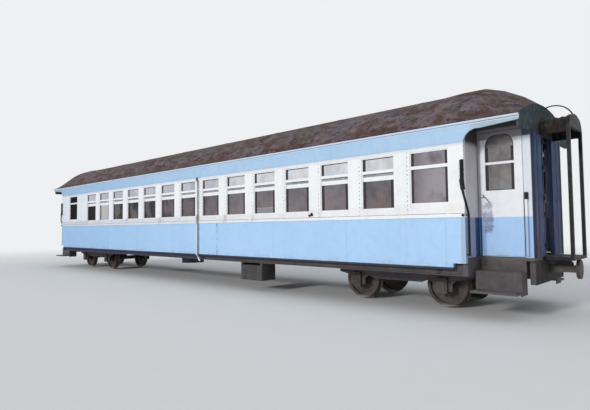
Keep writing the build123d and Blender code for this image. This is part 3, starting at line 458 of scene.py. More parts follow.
class Finish(NodeTree):
    """Builds one material around self.colour, the colour so far.

    lay, shade and patches put a layer over it, and close ends the material. Every other method
    adds nodes and returns the socket that carries the result.
    """

    def __init__(self, name, colour=None):
        self.material = bpy.data.materials.new(name)
        super().__init__(self.material)
        self.place = self.add("ShaderNodeTexCoord").outputs["Object"]
        self.x, self.y, self.z = self.add("ShaderNodeSeparateXYZ", {0: self.place}).outputs
        self.colour = colour

    def along(self):
        """The distance from the coach's middle along X."""
        return self.maths("ABSOLUTE", self.x)

    def outward(self):
        """The distance from the coach's centre line along Y."""
        return self.maths("ABSOLUTE", self.y)

    def times(self, *values):
        """The product of several values."""
        result = values[0]
        for value in values[1:]:
            result = self.maths("MULTIPLY", result, value)
        return result

    def rise(self, value, low, high):
        """Goes smoothly from 0 at low to 1 at high; low may be the larger."""
        inputs = {"Value": value, "From Min": low, "From Max": high}
        return self.add("ShaderNodeMapRange", inputs, interpolation_type="SMOOTHSTEP").outputs["Result"]

    def step(self, value, place, soft):
        """0 below a place and 1 above it, or the other way round with a negative softness."""
        return self.rise(value, place - soft, place + soft)

    def span(self, value, low, high, soft):
        """1 between low and high, fading to 0 outside over a soft width."""
        return self.times(self.rise(value, low - soft, low), self.rise(value, high + soft, high))

    def range(self, value, low, high):
        """A 0 to 1 value carried to another range."""
        inputs = {"Value": value, "To Min": low, "To Max": high}
        return self.add("ShaderNodeMapRange", inputs).outputs["Result"]

    def noise(self, scale, detail=3.0, roughness=0.55, stretch=ONE, shift=(0, 0, 0), warp=0.0):
        """Cloudy noise between 0 and 1, about 0.5 in the middle."""
        mapping = self.add("ShaderNodeMapping", {"Vector": self.place, "Scale": stretch, "Location": shift})
        inputs = {"Vector": mapping.outputs[0], "Scale": scale, "Detail": detail, "Roughness": roughness,
                  "Distortion": warp}
        return self.add("ShaderNodeTexNoise", inputs).outputs["Fac"]

    def cloud(self, noise, low, high):
        """Noise drawn apart: 0 below low and 1 above high."""
        return self.rise(self.noise(*noise), low, high)

    def varied(self, noise, low, high):
        """Noise carried to a range."""
        return self.range(self.noise(*noise), low, high)

    def mix(self, factor, a, b, blend="MIX"):
        """Two colours mixed."""
        inputs = {0: factor, 6: a, 7: b}
        return self.add("ShaderNodeMix", inputs, data_type="RGBA", blend_type=blend).outputs[2]

    def lay(self, mask, colour, strength=1.0, blend="MIX"):
        """Lays a colour over the colour so far, as strong as a mask times a strength."""
        factor = mask if strength == 1.0 else self.range(mask, 0.0, strength)
        self.colour = self.mix(factor, self.colour, colour, blend)

    def shade(self, mask, colour):
        """Multiplies the colour so far by a colour where a mask is 1."""
        self.lay(mask, colour, blend="MULTIPLY")

    def patches(self, layers):
        """Lays cloudy patches, each a row of noise, low, high, colour, strength and, if need be, blend."""
        for noise, low, high, *layer in layers:
            self.lay(self.cloud(noise, low, high), *layer)

    def bump(self, height, strength, distance=0.01, under=None):
        """A bumped normal from a height between 0 and 1."""
        node = self.add("ShaderNodeBump", {"Height": height, "Strength": strength, "Distance": distance})
        if under:
            self.feed(node.inputs["Normal"], under)
        return node.outputs[0]

    def close(self, roughness, normal=None, **constants):
        """Ends the tree in a Principled shader and returns the material."""
        inputs = {"Base Color": self.colour, "Roughness": roughness}
        inputs.update({key.replace("_", " "): value for key, value in constants.items()})
        if normal:
            inputs["Normal"] = normal
        shader = self.add("ShaderNodeBsdfPrincipled", inputs)
        self.add("ShaderNodeOutputMaterial", {"Surface": shader.outputs[0]})
        return self.material

    def close_painted(self):
        """Ends the tree as brushed paint over slightly wavy panels."""
        roughness = self.varied((9, 4), 0.34, 0.62)
        wave = self.bump(self.noise(2.2, 2), 0.22, 0.012)
        return self.close(roughness, self.bump(self.noise(55, 3, 0.55, (1, 1, 0.25)), 0.10, 0.002, wave))


def joint_distance(finish, first, pitch):
    """The distance along X to the nearest joint of a row: |fract((x - first)/pitch + 1/2) - 1/2| * pitch."""
    turns = finish.maths("DIVIDE", finish.maths("SUBTRACT", finish.x, first), pitch)
    offset = finish.maths("SUBTRACT", finish.maths("FRACT", finish.maths("ADD", turns, 0.5)), 0.5)
    return finish.times(finish.maths("ABSOLUTE", offset), pitch)


def weather(finish, bottom, grime=0.35, dull=(0.74, 0.80, 0.84)):
    """Old paint: fading, streaks, blotches, chalk, specks, dirt at the bottom and a painted shadow beside the
    pipes.
    """
    finish.patches((
        ((0.9, 5, 0.6, (1, 1, 1.2)), 0.34, 0.70, (0.55, 0.60, 0.66), 0.10, "MULTIPLY"),
        ((6.5, 5, 0.62, (1, 1, 0.07)), 0.52, 0.80, GRIME, 0.4 * grime, "MULTIPLY"),
        ((6.5, 5, 0.65, ONE, (4, 1, 6)), 0.48, 0.70, (0.55, 0.60, 0.68), 0.16, "MULTIPLY"),
        ((11, 5, 0.65, ONE, (9, 2, 1)), 0.52, 0.72, (0.80, 0.84, 0.88), 0.14),
        ((70, 2, 0.6), 0.68, 0.80, GRIME, 0.7 * grime),
    ))
    low = finish.times(finish.rise(finish.z, bottom + 0.14, bottom), finish.cloud((4.2, 5, 0.6), 0.36, 0.70))
    finish.lay(low, GRIME, 0.30)
    # Painted shadow: a dark strip on the wall beside each downpipe, on its side away from the light, stands
    # in for the pipe's cast shadow.
    beside = finish.times(finish.x, finish.maths("SIGN", finish.y), -1.0)
    run = finish.times(finish.span(beside, PIPE_PLACE + 0.030, PIPE_PLACE + 0.075, 0.014),
                       finish.rise(finish.z, 2.74, 2.70),
                       finish.cloud((7, 4, 0.6, (0.4, 0.4, 1)), 0.20, 0.50))
    finish.lay(run, (0.075, 0.095, 0.125), 0.72)
    rearward = finish.rise(finish.x, 3.0, -8.0)
    finish.lay(rearward, dull, 0.9, "MULTIPLY")


def two_tone(name, upper, lower, grime):
    """Paint in two colours that meet at the waist."""
    finish = Finish(name, lower)
    finish.lay(finish.step(finish.z, WAIST, 0.004), upper)
    weather(finish, FLOOR_TOP, grime)
    return finish


def panel_blue():
    """Lower panels and letterboards: light blue, pale along the gutter, with stains at the joints."""
    finish = Finish("light_blue_paint", settings().light_blue)
    weather(finish, SIDE_BOTTOM, 0.22, (0.67, 0.76, 0.82))
    letterboard = finish.step(finish.z, LETTERBOARD_BOTTOM, 0.002)
    finish.shade(letterboard, (0.97, 0.93, 0.88))
    over_door = finish.rise(finish.along(), HALF, HALF + 0.30)
    finish.shade(over_door, (0.86, 0.76, 0.66))
    pale = finish.step(finish.z, EAVE - PALE_BAND, 0.002)
    finish.lay(pale, (0.66, 0.71, 0.80), 0.62)
    below = finish.rise(finish.z, WAIST, WAIST - 0.02)
    corner = finish.rise(finish.along(), HALF - 0.085, HALF - 0.060)
    finish.shade(finish.times(corner, below), (0.82, 0.78, 0.72))
    joint = finish.rise(joint_distance(finish, SEAM_PLACE, 2 * WINDOW_PITCH), 0.012, 0.004)
    finish.lay(finish.times(joint, below), (0.12, 0.16, 0.20), 0.16)
    from_middle = finish.maths("ABSOLUTE", finish.maths("SUBTRACT", finish.z, (SIDE_BOTTOM + WAIST) / 2))
    gape = finish.maths("MAXIMUM", finish.rise(from_middle, 0.20, 0.34),
                        finish.cloud((9, 4, 0.65, (0.3, 0.3, 1)), 0.48, 0.62))
    seam = finish.span(finish.x, SEAM_PLACE - 0.010, SEAM_PLACE + 0.010, 0.018)
    finish.lay(finish.times(seam, below, gape), (0.06, 0.11, 0.17), 0.62)
    return finish.close_painted()


def stained_white():
    """White paint of the window band: open joints, a dark line on the belt rail, stains under the sills,
    painted shade under the letterboard.
    """
    finish = Finish("white_paint", settings().white)
    weather(finish, WAIST - 0.30, 0.25, (0.95, 0.90, 1.0))
    beside = joint_distance(finish, float(WINDOW_MIDDLES[1]) - WINDOW_HALF - JOINT_INSET, WINDOW_PITCH)
    rust = finish.times(finish.rise(beside, 0.11, 0.02),
                        finish.span(finish.z, WAIST + 0.02, SASH_LOW.z + 0.01, 0.03),
                        finish.cloud((0.8, 2, 0.55, ONE, (3, 0, 0)), 0.50, 0.62),
                        finish.cloud((26, 4, 0.55, (1, 1, 0.15)), 0.38, 0.66))
    finish.lay(rust, RUST, 0.6)
    sill = finish.times(finish.span(finish.z, SASH_LOW.z - 0.06, SASH_LOW.z + 0.03, 0.05),
                        finish.cloud((4, 4, 0.55, (1, 1, 0.4)), 0.40, 0.70))
    finish.lay(sill, (0.62, 0.48, 0.32), 0.22)
    belt = finish.times(finish.span(finish.z, WAIST + 0.02, SASH_LOW.z - 0.01, 0.03),
                        finish.rise(finish.x, 7.5, -4.0))
    finish.shade(belt, (0.76, 0.81, 0.84))
    rear_end = finish.rise(finish.x, -5.3, -6.3)
    finish.shade(rear_end, (0.84, 0.92, 0.885))
    nails = finish.rise(finish.maths("SINE", finish.times(finish.z, 2 * math.pi / NAIL_PITCH)), 0.0, 0.7)
    crack = finish.times(finish.rise(beside, 0.010, 0.004),
                         finish.rise(finish.z, BELT_RAIL_TOP, BELT_RAIL_TOP + 0.01), nails,
                         finish.cloud((5, 3, 0.7, (0.5, 0.5, 1)), 0.34, 0.50),
                         finish.rise(finish.outward(), HALF_WIDTH - 0.020, HALF_WIDTH - 0.010))
    finish.lay(crack, (0.10, 0.095, 0.10), 0.80)
    # Painted shade: the white darkened under the letterboard's drip rail, over the window heads.
    shade_under_board = finish.rise(finish.z, SASH_HIGH.z - 0.010, LETTERBOARD_BOTTOM)
    finish.shade(shade_under_board, (0.74, 0.79, 0.88))
    line = finish.times(finish.span(finish.z, BELT_RAIL_TOP - 0.001, BELT_RAIL_TOP + 0.007, 0.003),
                        finish.cloud((3.5, 4, 0.6, (1, 0, 0)), 0.30, 0.50))
    finish.lay(line, (0.15, 0.15, 0.18), 0.72)
    return finish.close_painted()


def door_paint():
    """Doors and corner posts: white over light blue, a dark lock edge, a worn lock place and painted shade
    over the head.
    """
    finish = two_tone("door_paint", settings().white, settings().light_blue, 0.25)
    along = finish.along()
    pale_line = finish.span(along, HALF + 0.012, HALF + 0.026, 0.006)
    lower = finish.mix(pale_line, DEEP_BLUE, (0.10, 0.18, 0.33))
    recess = finish.mix(finish.step(finish.z, WAIST, 0.004), lower, (0.40, 0.385, 0.40))
    lock_edge = finish.step(along, LOCK_EDGE, -0.004)
    finish.lay(lock_edge, recess)
    wander = finish.varied((7, 3, 0.6, ONE, (1, 0, 4)), -0.09, 0.09)
    worn = finish.times(
        finish.span(finish.maths("ADD", along, wander), LOCK_EDGE + 0.06, LOCK_EDGE + 0.15, 0.035),
        finish.span(finish.maths("ADD", finish.z, wander), 1.40, 1.80, 0.07),
        finish.cloud((9, 5, 0.65), 0.30, 0.52))
    finish.lay(worn, (0.22, 0.23, 0.34), 0.70)
    smear = finish.times(worn, finish.step(finish.z, WAIST, -0.02))
    finish.lay(smear, (0.12, 0.14, 0.26), 0.45)
    post = finish.rise(along, HALF + 0.709, HALF + 0.716)
    finish.shade(1.0, finish.mix(post, (0.94, 0.95, 0.98), (0.79, 0.82, 0.89)))
    # Painted shade: the heads of the doors and posts darkened under the roof's overhang, darkest at the top.
    head = finish.mix(finish.rise(finish.z, 3.01, 3.05), (0.290, 0.260, 0.290), (0.070, 0.078, 0.080))
    head = finish.mix(post, head, (0.060, 0.078, 0.100))
    finish.lay(finish.rise(finish.z, HEAD_SHADE, HEAD_SHADE + 0.02), head)
    end_face = finish.rise(along, END_FACE - 0.006, END_FACE - 0.003)
    finish.lay(end_face, (0.022, 0.030, 0.052))
    return finish.close_painted()


def recess_paint():
    """The wall beside the door: grey over deep blue, pale towards the corner, with painted shade under the
    roof.
    """
    finish = two_tone("recess_paint", (0.60, 0.57, 0.60), DEEP_BLUE, 0.30)
    below = finish.step(finish.z, WAIST, -0.004)
    streak = finish.range(finish.cloud((16, 4, 0.6, (1, 1, 0.05)), 0.44, 0.64), 0.0, 0.6)
    finish.lay(finish.times(streak, below), (0.040, 0.13, 0.28))
    corner = finish.rise(finish.outward(), 1.03, 1.06)
    finish.lay(finish.times(corner, below), (0.30, 0.32, 0.44))
    # Painted shade: the top of the wall darkened under the roof's overhang.
    top = finish.rise(finish.z, 2.72, 2.84)
    finish.lay(top, SHADE_UNDER_ROOF)
    return finish.close_painted()


def rail_paint():
    """Handrails: black, with the post rails below their top bracket painted like the posts."""
    finish = two_tone("rail_paint", settings().white, (0.40, 0.52, 0.72), 0.4)
    worn = finish.range(finish.cloud((13, 5, 0.65), 0.52, 0.76), 0.0, 0.4)
    black = finish.mix(worn, settings().black, (0.075, 0.062, 0.055))
    post = finish.times(finish.rise(finish.along(), 8.55, 8.60), finish.step(finish.z, POST_BRACKET, -0.004))
    finish.colour = finish.mix(post, black, finish.colour)
    normal = finish.bump(finish.noise(60, 3), 0.12, 0.002)
    return finish.close(finish.varied((21, 4), 0.35, 0.65), normal, Specular_IOR_Level=0.2)


def sooty_roof():
    """The roof: red-brown and purple-grey patches with soot, ochre lichen, pale specks and a darker eave."""
    finish = Finish("roof_paint", settings().roof_brown)
    along = (0.75, 1, 1)
    finish.patches((
        ((1.8, 6, 0.72, along), 0.40, 0.60, (0.128, 0.112, 0.125)),
        ((6, 5, 0.75, along, (7, 2, 0)), 0.47, 0.58, (0.190, 0.145, 0.175), 0.85),
        ((3.4, 5, 0.7, along, (8, 1, 5)), 0.50, 0.62, (0.088, 0.088, 0.060), 0.65),
        ((8, 5, 0.75, along, (1, 8, 4)), 0.50, 0.62, (0.040, 0.030, 0.032), 0.85),
        ((4.5, 5, 0.7, along, (3, 6, 1)), 0.54, 0.64, (0.120, 0.044, 0.040), 0.7),
        ((16, 5, 0.7, along, (0, 5, 3)), 0.57, 0.68, (0.150, 0.130, 0.040), 0.85),
        ((24, 4, 0.7, along, (2, 2, 9)), 0.64, 0.74, (0.42, 0.39, 0.41), 0.80),
    ))
    eave = finish.times(finish.rise(finish.z, EAVE + 0.22, EAVE), finish.cloud((3, 4), 0.30, 0.6))
    finish.lay(eave, (0.070, 0.040, 0.038), 0.5)
    hanging = finish.rise(finish.z, EAVE + 0.004, EAVE - 0.002)
    face = finish.rise(finish.along(), END_FACE - 0.006, END_FACE - 0.003)
    board = finish.mix(finish.cloud((9, 5, 0.7), 0.42, 0.62), (0.040, 0.062, 0.074), (0.087, 0.100, 0.108))
    finish.lay(finish.maths("MAXIMUM", hanging, face), board)
    wave = finish.bump(finish.noise(2.6, 3), 0.30, 0.02)
    normal = finish.bump(finish.noise(38, 4, 0.65), 0.35, 0.006, wave)
    return finish.close(finish.varied((8, 4), 0.80, 1.0), normal, Specular_IOR_Level=0.12)


def slate_wall():
    """End walls: slate blue, a painted reflection of the ground in purple-brown low down, streaks, painted
    shade on the left half and top.
    """
    finish = Finish("slate_blue_paint", settings().slate_blue)
    # Painted reflection: purple-brown clouds towards the floor, for the ground mirrored in the glossy wall.
    low = finish.rise(finish.z, 2.10, 1.45)
    dust = finish.times(low, finish.cloud((2.6, 5, 0.6, (1, 1, 0.4)), 0.26, 0.52))
    finish.lay(dust, (0.128, 0.112, 0.205), 0.72)
    finish.patches((
        ((14, 4, 0.6, (1, 1, 0.06)), 0.46, 0.72, (0.11, 0.16, 0.29), 0.50),
        ((8, 4, 0.6, (1, 1, 0.10), (5, 0, 0)), 0.52, 0.70, (0.010, 0.022, 0.065), 0.8),
    ))
    # Painted shade: the left half of each wall darker, in the shade of the gangway hoop.
    shade_left_half = finish.rise(finish.y, 0.20, 0.35)
    finish.lay(shade_left_half, (0.013, 0.042, 0.105), 0.62)
    edge = finish.rise(finish.outward(), 0.70, 0.75)
    finish.lay(edge, (0.009, 0.013, 0.032), 0.85)
    # Painted shade: dark at the top, under the roof's end board.
    top = finish.rise(finish.z, 2.90, 2.97)
    finish.lay(top, SHADE_UNDER_ROOF)
    normal = finish.bump(finish.noise(40, 3, 0.55, (1, 1, 0.2)), 0.15, 0.003)
    return finish.close(finish.varied((7, 4), 0.45, 0.75), normal, Specular_IOR_Level=0.2)


def black_paint():
    """Black gloss paint, worn and dusty."""
    finish = Finish("black_paint", settings().black)
    finish.patches([((13, 5, 0.65), 0.52, 0.76, (0.045, 0.036, 0.034), 0.5)])
    normal = finish.bump(finish.noise(60, 3), 0.12, 0.002)
    return finish.close(finish.varied((21, 4), 0.40, 0.70), normal, Specular_IOR_Level=0.25)


def dusty(name, base, other, rough_low, rough_high, metallic=0.0):
    """Dust and rust over iron: two colours in clouds, with dark oil runs, a gritty surface and painted shade
    towards the rear and on the headstocks.
    """
    finish = Finish(name, base)
    finish.patches((
        ((3.5, 6, 0.65), 0.34, 0.66, other),
        ((5, 5, 0.6, (1, 1, 0.3), (2, 9, 1)), 0.58, 0.76, (0.028, 0.023, 0.020), 0.7),
        ((34, 4, 0.7), 0.60, 0.76, RUST, 0.5),
    ))
    # Painted shade: dark blue-grey over the parts above 0.64 m, towards the rear.
    rearward = finish.times(finish.rise(finish.x, 4.0, -2.0), finish.rise(finish.z, 0.62, 0.66))
    finish.lay(rearward, (0.040, 0.048, 0.120), 0.70)
    # Painted shade: the headstocks' end faces darkened.
    headstock = finish.span(finish.along(), HEADSTOCK_FACE - 0.010, HEADSTOCK_FACE + 0.008, 0.004)
    finish.lay(headstock, (0.012, 0.013, 0.013), 0.80)
    normal = finish.bump(finish.noise(75, 5, 0.7), 0.35, 0.004)
    return finish.close(finish.varied((12, 4), rough_low, rough_high), normal, Metallic=metallic)


def wheel_steel():
    """Wheels: dusty brown discs, and pale at the lowest part of the tread and flange."""
    finish = Finish("wheel_steel", (0.056, 0.043, 0.038))
    finish.patches((
        ((6, 5, 0.65), 0.35, 0.65, (0.094, 0.077, 0.070)),
        ((40, 4, 0.7), 0.58, 0.74, RUST, 0.6),
    ))
    axle_z = sum(corner.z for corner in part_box("wheelset_front_outer")) / 2
    lowest = finish.rise(finish.z, axle_z - 0.33, axle_z - 0.37)
    finish.lay(lowest, (0.40, 0.39, 0.38), 0.6)
    normal = finish.bump(finish.noise(85, 4), 0.25, 0.003)
    return finish.close(finish.varied((15, 4), 0.40, 0.80), normal, Metallic=0.45)


def pipe_paint():
    """Downpipes: white, dark at the top under the gutter, rusty at the belt rail."""
    finish = two_tone("pipe_paint", settings().white, (0.74, 0.78, 0.82), 0.3)
    top = finish.rise(finish.z, 2.66, 2.72)
    finish.lay(top, (0.060, 0.055, 0.060))
    rust = finish.times(finish.span(finish.z, WAIST + 0.02, WAIST + 0.20, 0.05),
                        finish.cloud((14, 4, 0.7), 0.25, 0.55))
    finish.lay(rust, (0.30, 0.15, 0.09), 0.9)
    return finish.close_painted()


def grey_felt():
    """Weather strips over the drop sashes: grey felt with a matted pile."""
    finish = Finish("grey_felt", (0.25, 0.25, 0.29))
    pile = finish.noise(120, 4, 0.7)
    finish.patches([((8, 4), 0.35, 0.65, (0.40, 0.39, 0.42))])
    finish.lay(pile, (0.16, 0.16, 0.18), 0.3)
    return finish.close(0.95, finish.bump(pile, 0.3, 0.001))


def dusty_glass():
    """Window panes: frosted toplights over the drop sashes, and dusty glass with painted reflections: brown
    ground low down, dark surroundings darker towards the rear.
    """
    finish = Finish("window_glass", (0.128, 0.117, 0.130))
    finish.patches((
        ((2.4, 5, 0.6), 0.34, 0.66, (0.208, 0.190, 0.214)),
        ((18, 4, 0.6, (1, 1, 0.1)), 0.52, 0.78, (0.24, 0.22, 0.24), 0.4),
        ((13, 5, 0.7, ONE, (5, 0, 2)), 0.44, 0.64, (0.095, 0.082, 0.086), 0.45),
    ))
    # Painted reflection: brown clouds over the lower part of the panes, for the ground mirrored in the glass.
    brown = finish.times(finish.rise(finish.z, SASH_LOW.z + 0.50, SASH_LOW.z + 0.12),
                         finish.cloud((5, 4, 0.6, (1, 1, 0.6), (2, 0, 7)), 0.30, 0.62))
    finish.lay(brown, (0.245, 0.185, 0.160), 0.55)
    under_lath = finish.times(finish.span(finish.x, LATH_MIDDLE - 0.5, LATH_MIDDLE + 0.5, 0.001),
                              finish.rise(finish.z, LATH_BOTTOM + 0.002, LATH_BOTTOM),
                              finish.rise(finish.y, 0.5, -0.5))
    finish.lay(under_lath, (0.31, 0.29, 0.33), 0.75)
    near = finish.times(finish.rise(finish.x, FRONT_WINDOW - 0.5, FRONT_WINDOW + 0.1),
                        finish.cloud((2.2, 3, 0.55, ONE, (1, 3, 0)), 0.25, 0.55))
    finish.lay(near, (0.39, 0.35, 0.39), 0.85)
    middle_windows = finish.span(finish.x, 2.0, 6.0, 0.001)
    finish.lay(middle_windows, (0.38, 0.36, 0.40), 0.13)
    # Painted reflection: darker clouds towards the rear, for dark surroundings mirrored in the glass.
    dark = finish.range(finish.cloud((2.3, 3, 0.5, (1, 1, 0.6), (0, 4, 2)), 0.42, 0.56), 0.25, 0.85)
    finish.lay(finish.times(dark, finish.rise(finish.x, 3.0, -2.0)), (0.012, 0.011, 0.014))
    # Painted reflection: the rearmost panes nearly black, for dark surroundings mirrored in them; they are
    # rougher there too.
    dark_reflection = finish.maths("ADD", finish.range(finish.rise(finish.x, -4.90, -5.00), 0.0, 0.91),
                         finish.range(finish.rise(finish.x, -5.90, -6.50), 0.0, 0.07))
    finish.lay(dark_reflection, (0.003, 0.003, 0.004))
    blind = finish.span(finish.x, BLIND_MIDDLE - 0.5, BLIND_MIDDLE + 0.5, 0.001)
    finish.lay(blind, (0.50, 0.49, 0.50))
    frosted = finish.mix(finish.cloud((5, 4, 0.6, (1, 1, 0.5)), 0.35, 0.65),
                         (0.58, 0.585, 0.61), (0.74, 0.73, 0.76))
    frosted = finish.mix(finish.rise(finish.x, 3.2, 1.6), frosted, (0.75, 0.76, 0.79), "MULTIPLY")
    toplight = finish.times(finish.span(finish.x, REAR_WINDOW + 0.8, FRONT_WINDOW - 0.5, 0.001),
                            finish.step(finish.z, TRANSOM_CENTRE, 0.002))
    finish.lay(toplight, frosted)
    roughness = finish.maths("ADD", finish.varied((6, 3), 0.10, 0.28), finish.range(dark_reflection, 0.0, 0.45))
    return finish.close(roughness, Specular_IOR_Level=0.15, Transmission_Weight=0.10, IOR=1.25)


def door_glass():
    """Door panes: clear glass under a thin brown film in clouds."""
    finish = Finish("door_glass", (0.62, 0.60, 0.60))
    finish.patches([((5, 5, 0.6), 0.36, 0.68, (0.42, 0.37, 0.36))])
    roughness = finish.varied((6, 3), 0.03, 0.16)
    return finish.close(roughness, Specular_IOR_Level=0.4, Transmission_Weight=0.72, IOR=1.45)


def wood(name, dark, light):
    """Varnished boards: rings stretched along the grain, under dirt."""
    finish = Finish(name, dark)
    grain = finish.noise(28, 6, 0.6, (0.06, 1, 1), warp=0.6)
    finish.lay(finish.rise(grain, 0.35, 0.65), light)
    finish.patches([((3, 4), 0.45, 0.75, (0.06, 0.05, 0.04), 0.5)])
    return finish.close(finish.varied((9, 3), 0.38, 0.70), finish.bump(grain, 0.15, 0.002))


def tarred_canvas():
    """Canvas of the gangway hoods: a fine weave under brown tar, with pale creases and moss."""
    finish = Finish("canvas", (0.007, 0.0065, 0.007))
    warp, weft = (finish.maths("SINE", finish.times(place, 1400.0)) for place in (finish.x, finish.y))
    finish.patches((
        ((9, 5, 0.7), 0.40, 0.60, (0.026, 0.020, 0.019)),
        ((22, 4, 0.7), 0.60, 0.74, (0.13, 0.10, 0.09), 0.45),
        ((12, 4, 0.6, ONE, (3, 3, 3)), 0.56, 0.70, (0.050, 0.062, 0.030), 0.6),
    ))
    dents = finish.bump(finish.noise(9, 4), 0.5, 0.020)
    normal = finish.bump(finish.times(warp, weft), 0.12, 0.0008, dents)
    roughness = finish.varied((12, 3), 0.70, 0.95)
    return finish.close(roughness, normal, Specular_IOR_Level=0.2, Sheen_Weight=0.04)


def rubber():
    """Black rubber of window channels and seals."""
    finish = Finish("black_rubber", (0.010, 0.010, 0.011))
    finish.patches([((30, 4), 0.45, 0.75, (0.035, 0.032, 0.032))])
    return finish.close(finish.varied((50, 2), 0.55, 0.80))


# How each finish is made: a function and what it takes. A colour may be the name of a setting.
MAKERS = {
    "light_blue_paint": (panel_blue,),
    "white_paint": (stained_white,),
    "door_paint": (door_paint,),
    "recess_paint": (recess_paint,),
    "rail_paint": (rail_paint,),
    "pipe_paint": (pipe_paint,),
    "grey_felt": (grey_felt,),
    "roof_paint": (sooty_roof,),
    "slate_blue_paint": (slate_wall,),
    "black_paint": (black_paint,),
    "wheel_steel": (wheel_steel,),
    "window_glass": (dusty_glass,),
    "door_glass": (door_glass,),
    "canvas": (tarred_canvas,),
    "black_rubber": (rubber,),
    "underframe_paint": (dusty, "dust", (0.106, 0.092, 0.096), 0.75, 0.98),
    "box_paint": (dusty, (0.028, 0.032, 0.028), (0.060, 0.058, 0.052), 0.6, 0.9),
    "foot_paint": (dusty, (0.020, 0.032, 0.062), (0.040, 0.046, 0.066), 0.6, 0.9),
    "lever_iron": (dusty, (0.16, 0.17, 0.20), (0.30, 0.31, 0.35), 0.35, 0.6, 0.5),
    "cast_steel": (dusty, (0.060, 0.050, 0.047), (0.115, 0.096, 0.088), 0.55, 0.85, 0.3),
    "spring_steel": (dusty, (0.050, 0.042, 0.040), (0.100, 0.084, 0.076), 0.50, 0.80, 0.4),
    "varnished_wood": (wood, (0.115, 0.052, 0.022), (0.26, 0.135, 0.060)),
    "floor_boards": (wood, (0.060, 0.048, 0.038), (0.115, 0.095, 0.078)),
    "step_wood": (wood, (0.060, 0.052, 0.050), (0.115, 0.102, 0.098)),
}
MATERIALS = {}

# The finish of the solids whose names start so, where it isn't the one that their own slot names.
OTHER_FINISH = {
    "bulkhead": "recess_paint",
    "door_frames": "door_paint",
    "door_front": "door_paint",
    "door_rear": "door_paint",
    "door_glass": "door_glass",
    "handrails": "rail_paint",
    "downpipes": "pipe_paint",
    "equipment_boxes": "box_paint",
}


def material(name):
    """A finish by name, made at its first use."""
    if name not in MATERIALS:
        maker, *values = MAKERS[name]
        values = [getattr(settings(), value) if isinstance(value, str) else value for value in values]
        MATERIALS[name] = maker(name, *values) if values else maker()
    return MATERIALS[name]


class COACH_OT_finish_solids(Operator):
    """Give every solid of the coach its finish"""

    bl_idname = "coach.finish_solids"
    bl_label = "Finish the solids"

    def execute(self, context):
        for part in frame["record"]["subparts"]:
            name = part["node"]
            solid = NODES[name]
            if not solid.material_slots:
                solid.data.materials.append(None)
            others = [finish for start, finish in OTHER_FINISH.items() if name.startswith(start)]
            finish = others[0] if others else part["material_slot"]
            for slot in solid.material_slots:
                slot.link = "OBJECT"
                slot.material = material(finish)
        return {"FINISHED"}


class COACH_OT_side_trim(Operator):
    """Cover strips over the panel joints and mouldings along both sides"""

    bl_idname = "coach.side_trim"
    bl_label = "Side trim"

    def execute(self, context):
        face = -HALF_WIDTH
        profile = half_round(settings().batten_width, settings().batten_proud)
        joints = WINDOW_MIDDLES[1:] - WINDOW_HALF - JOINT_INSET - BATTEN_SHIFT
        strip = upright(profile, 0, face, BELT_RAIL_TOP, LETTERBOARD_BOTTOM)
        build("window_band_battens", on_both_sides(replicate(strip, places_at(joints))), "white_paint")
        seams = SEAM_PLACE + 2 * WINDOW_PITCH * np.arange(-4, 4)
        seams = seams[np.abs(seams) < HALF - CORNER_CLEAR]
        flat = upright(chamfered(0.026, 0.0015, 0.0007), 0, face, SIDE_BOTTOM + 0.01, WAIST - 0.012)
        foot = level(half_round(0.024, 0.005), -FOOT_END, FOOT_END, face, SIDE_BOTTOM + 0.014)
        strips = merge([replicate(flat, places_at(seams)), foot])
        build("lower_panel_strips", on_both_sides(strips), "light_blue_paint")
        # A drip strip under the panels; its dark navy also stands in as painted shade under the panels'
        # bottom edge.
        drip = pad((-FOOT_END, FOOT_END), (face + 0.012, face + 0.060), (SIDE_BOTTOM - 0.034, SIDE_BOTTOM))
        build("foot_strips", on_both_sides(drip), "foot_paint")
        clip = pad((-0.008, 0.008), (face - 0.026, face), (EAVE - 0.040, EAVE - GUTTER_HEIGHT))
        clips = replicate(clip, row_of(CORNER_CLEAR - HALF, HALF - CORNER_CLEAR, WINDOW_PITCH, 0, 0))
        build("gutter_clips", on_both_sides(clips), "light_blue_paint")
        return {"FINISHED"}


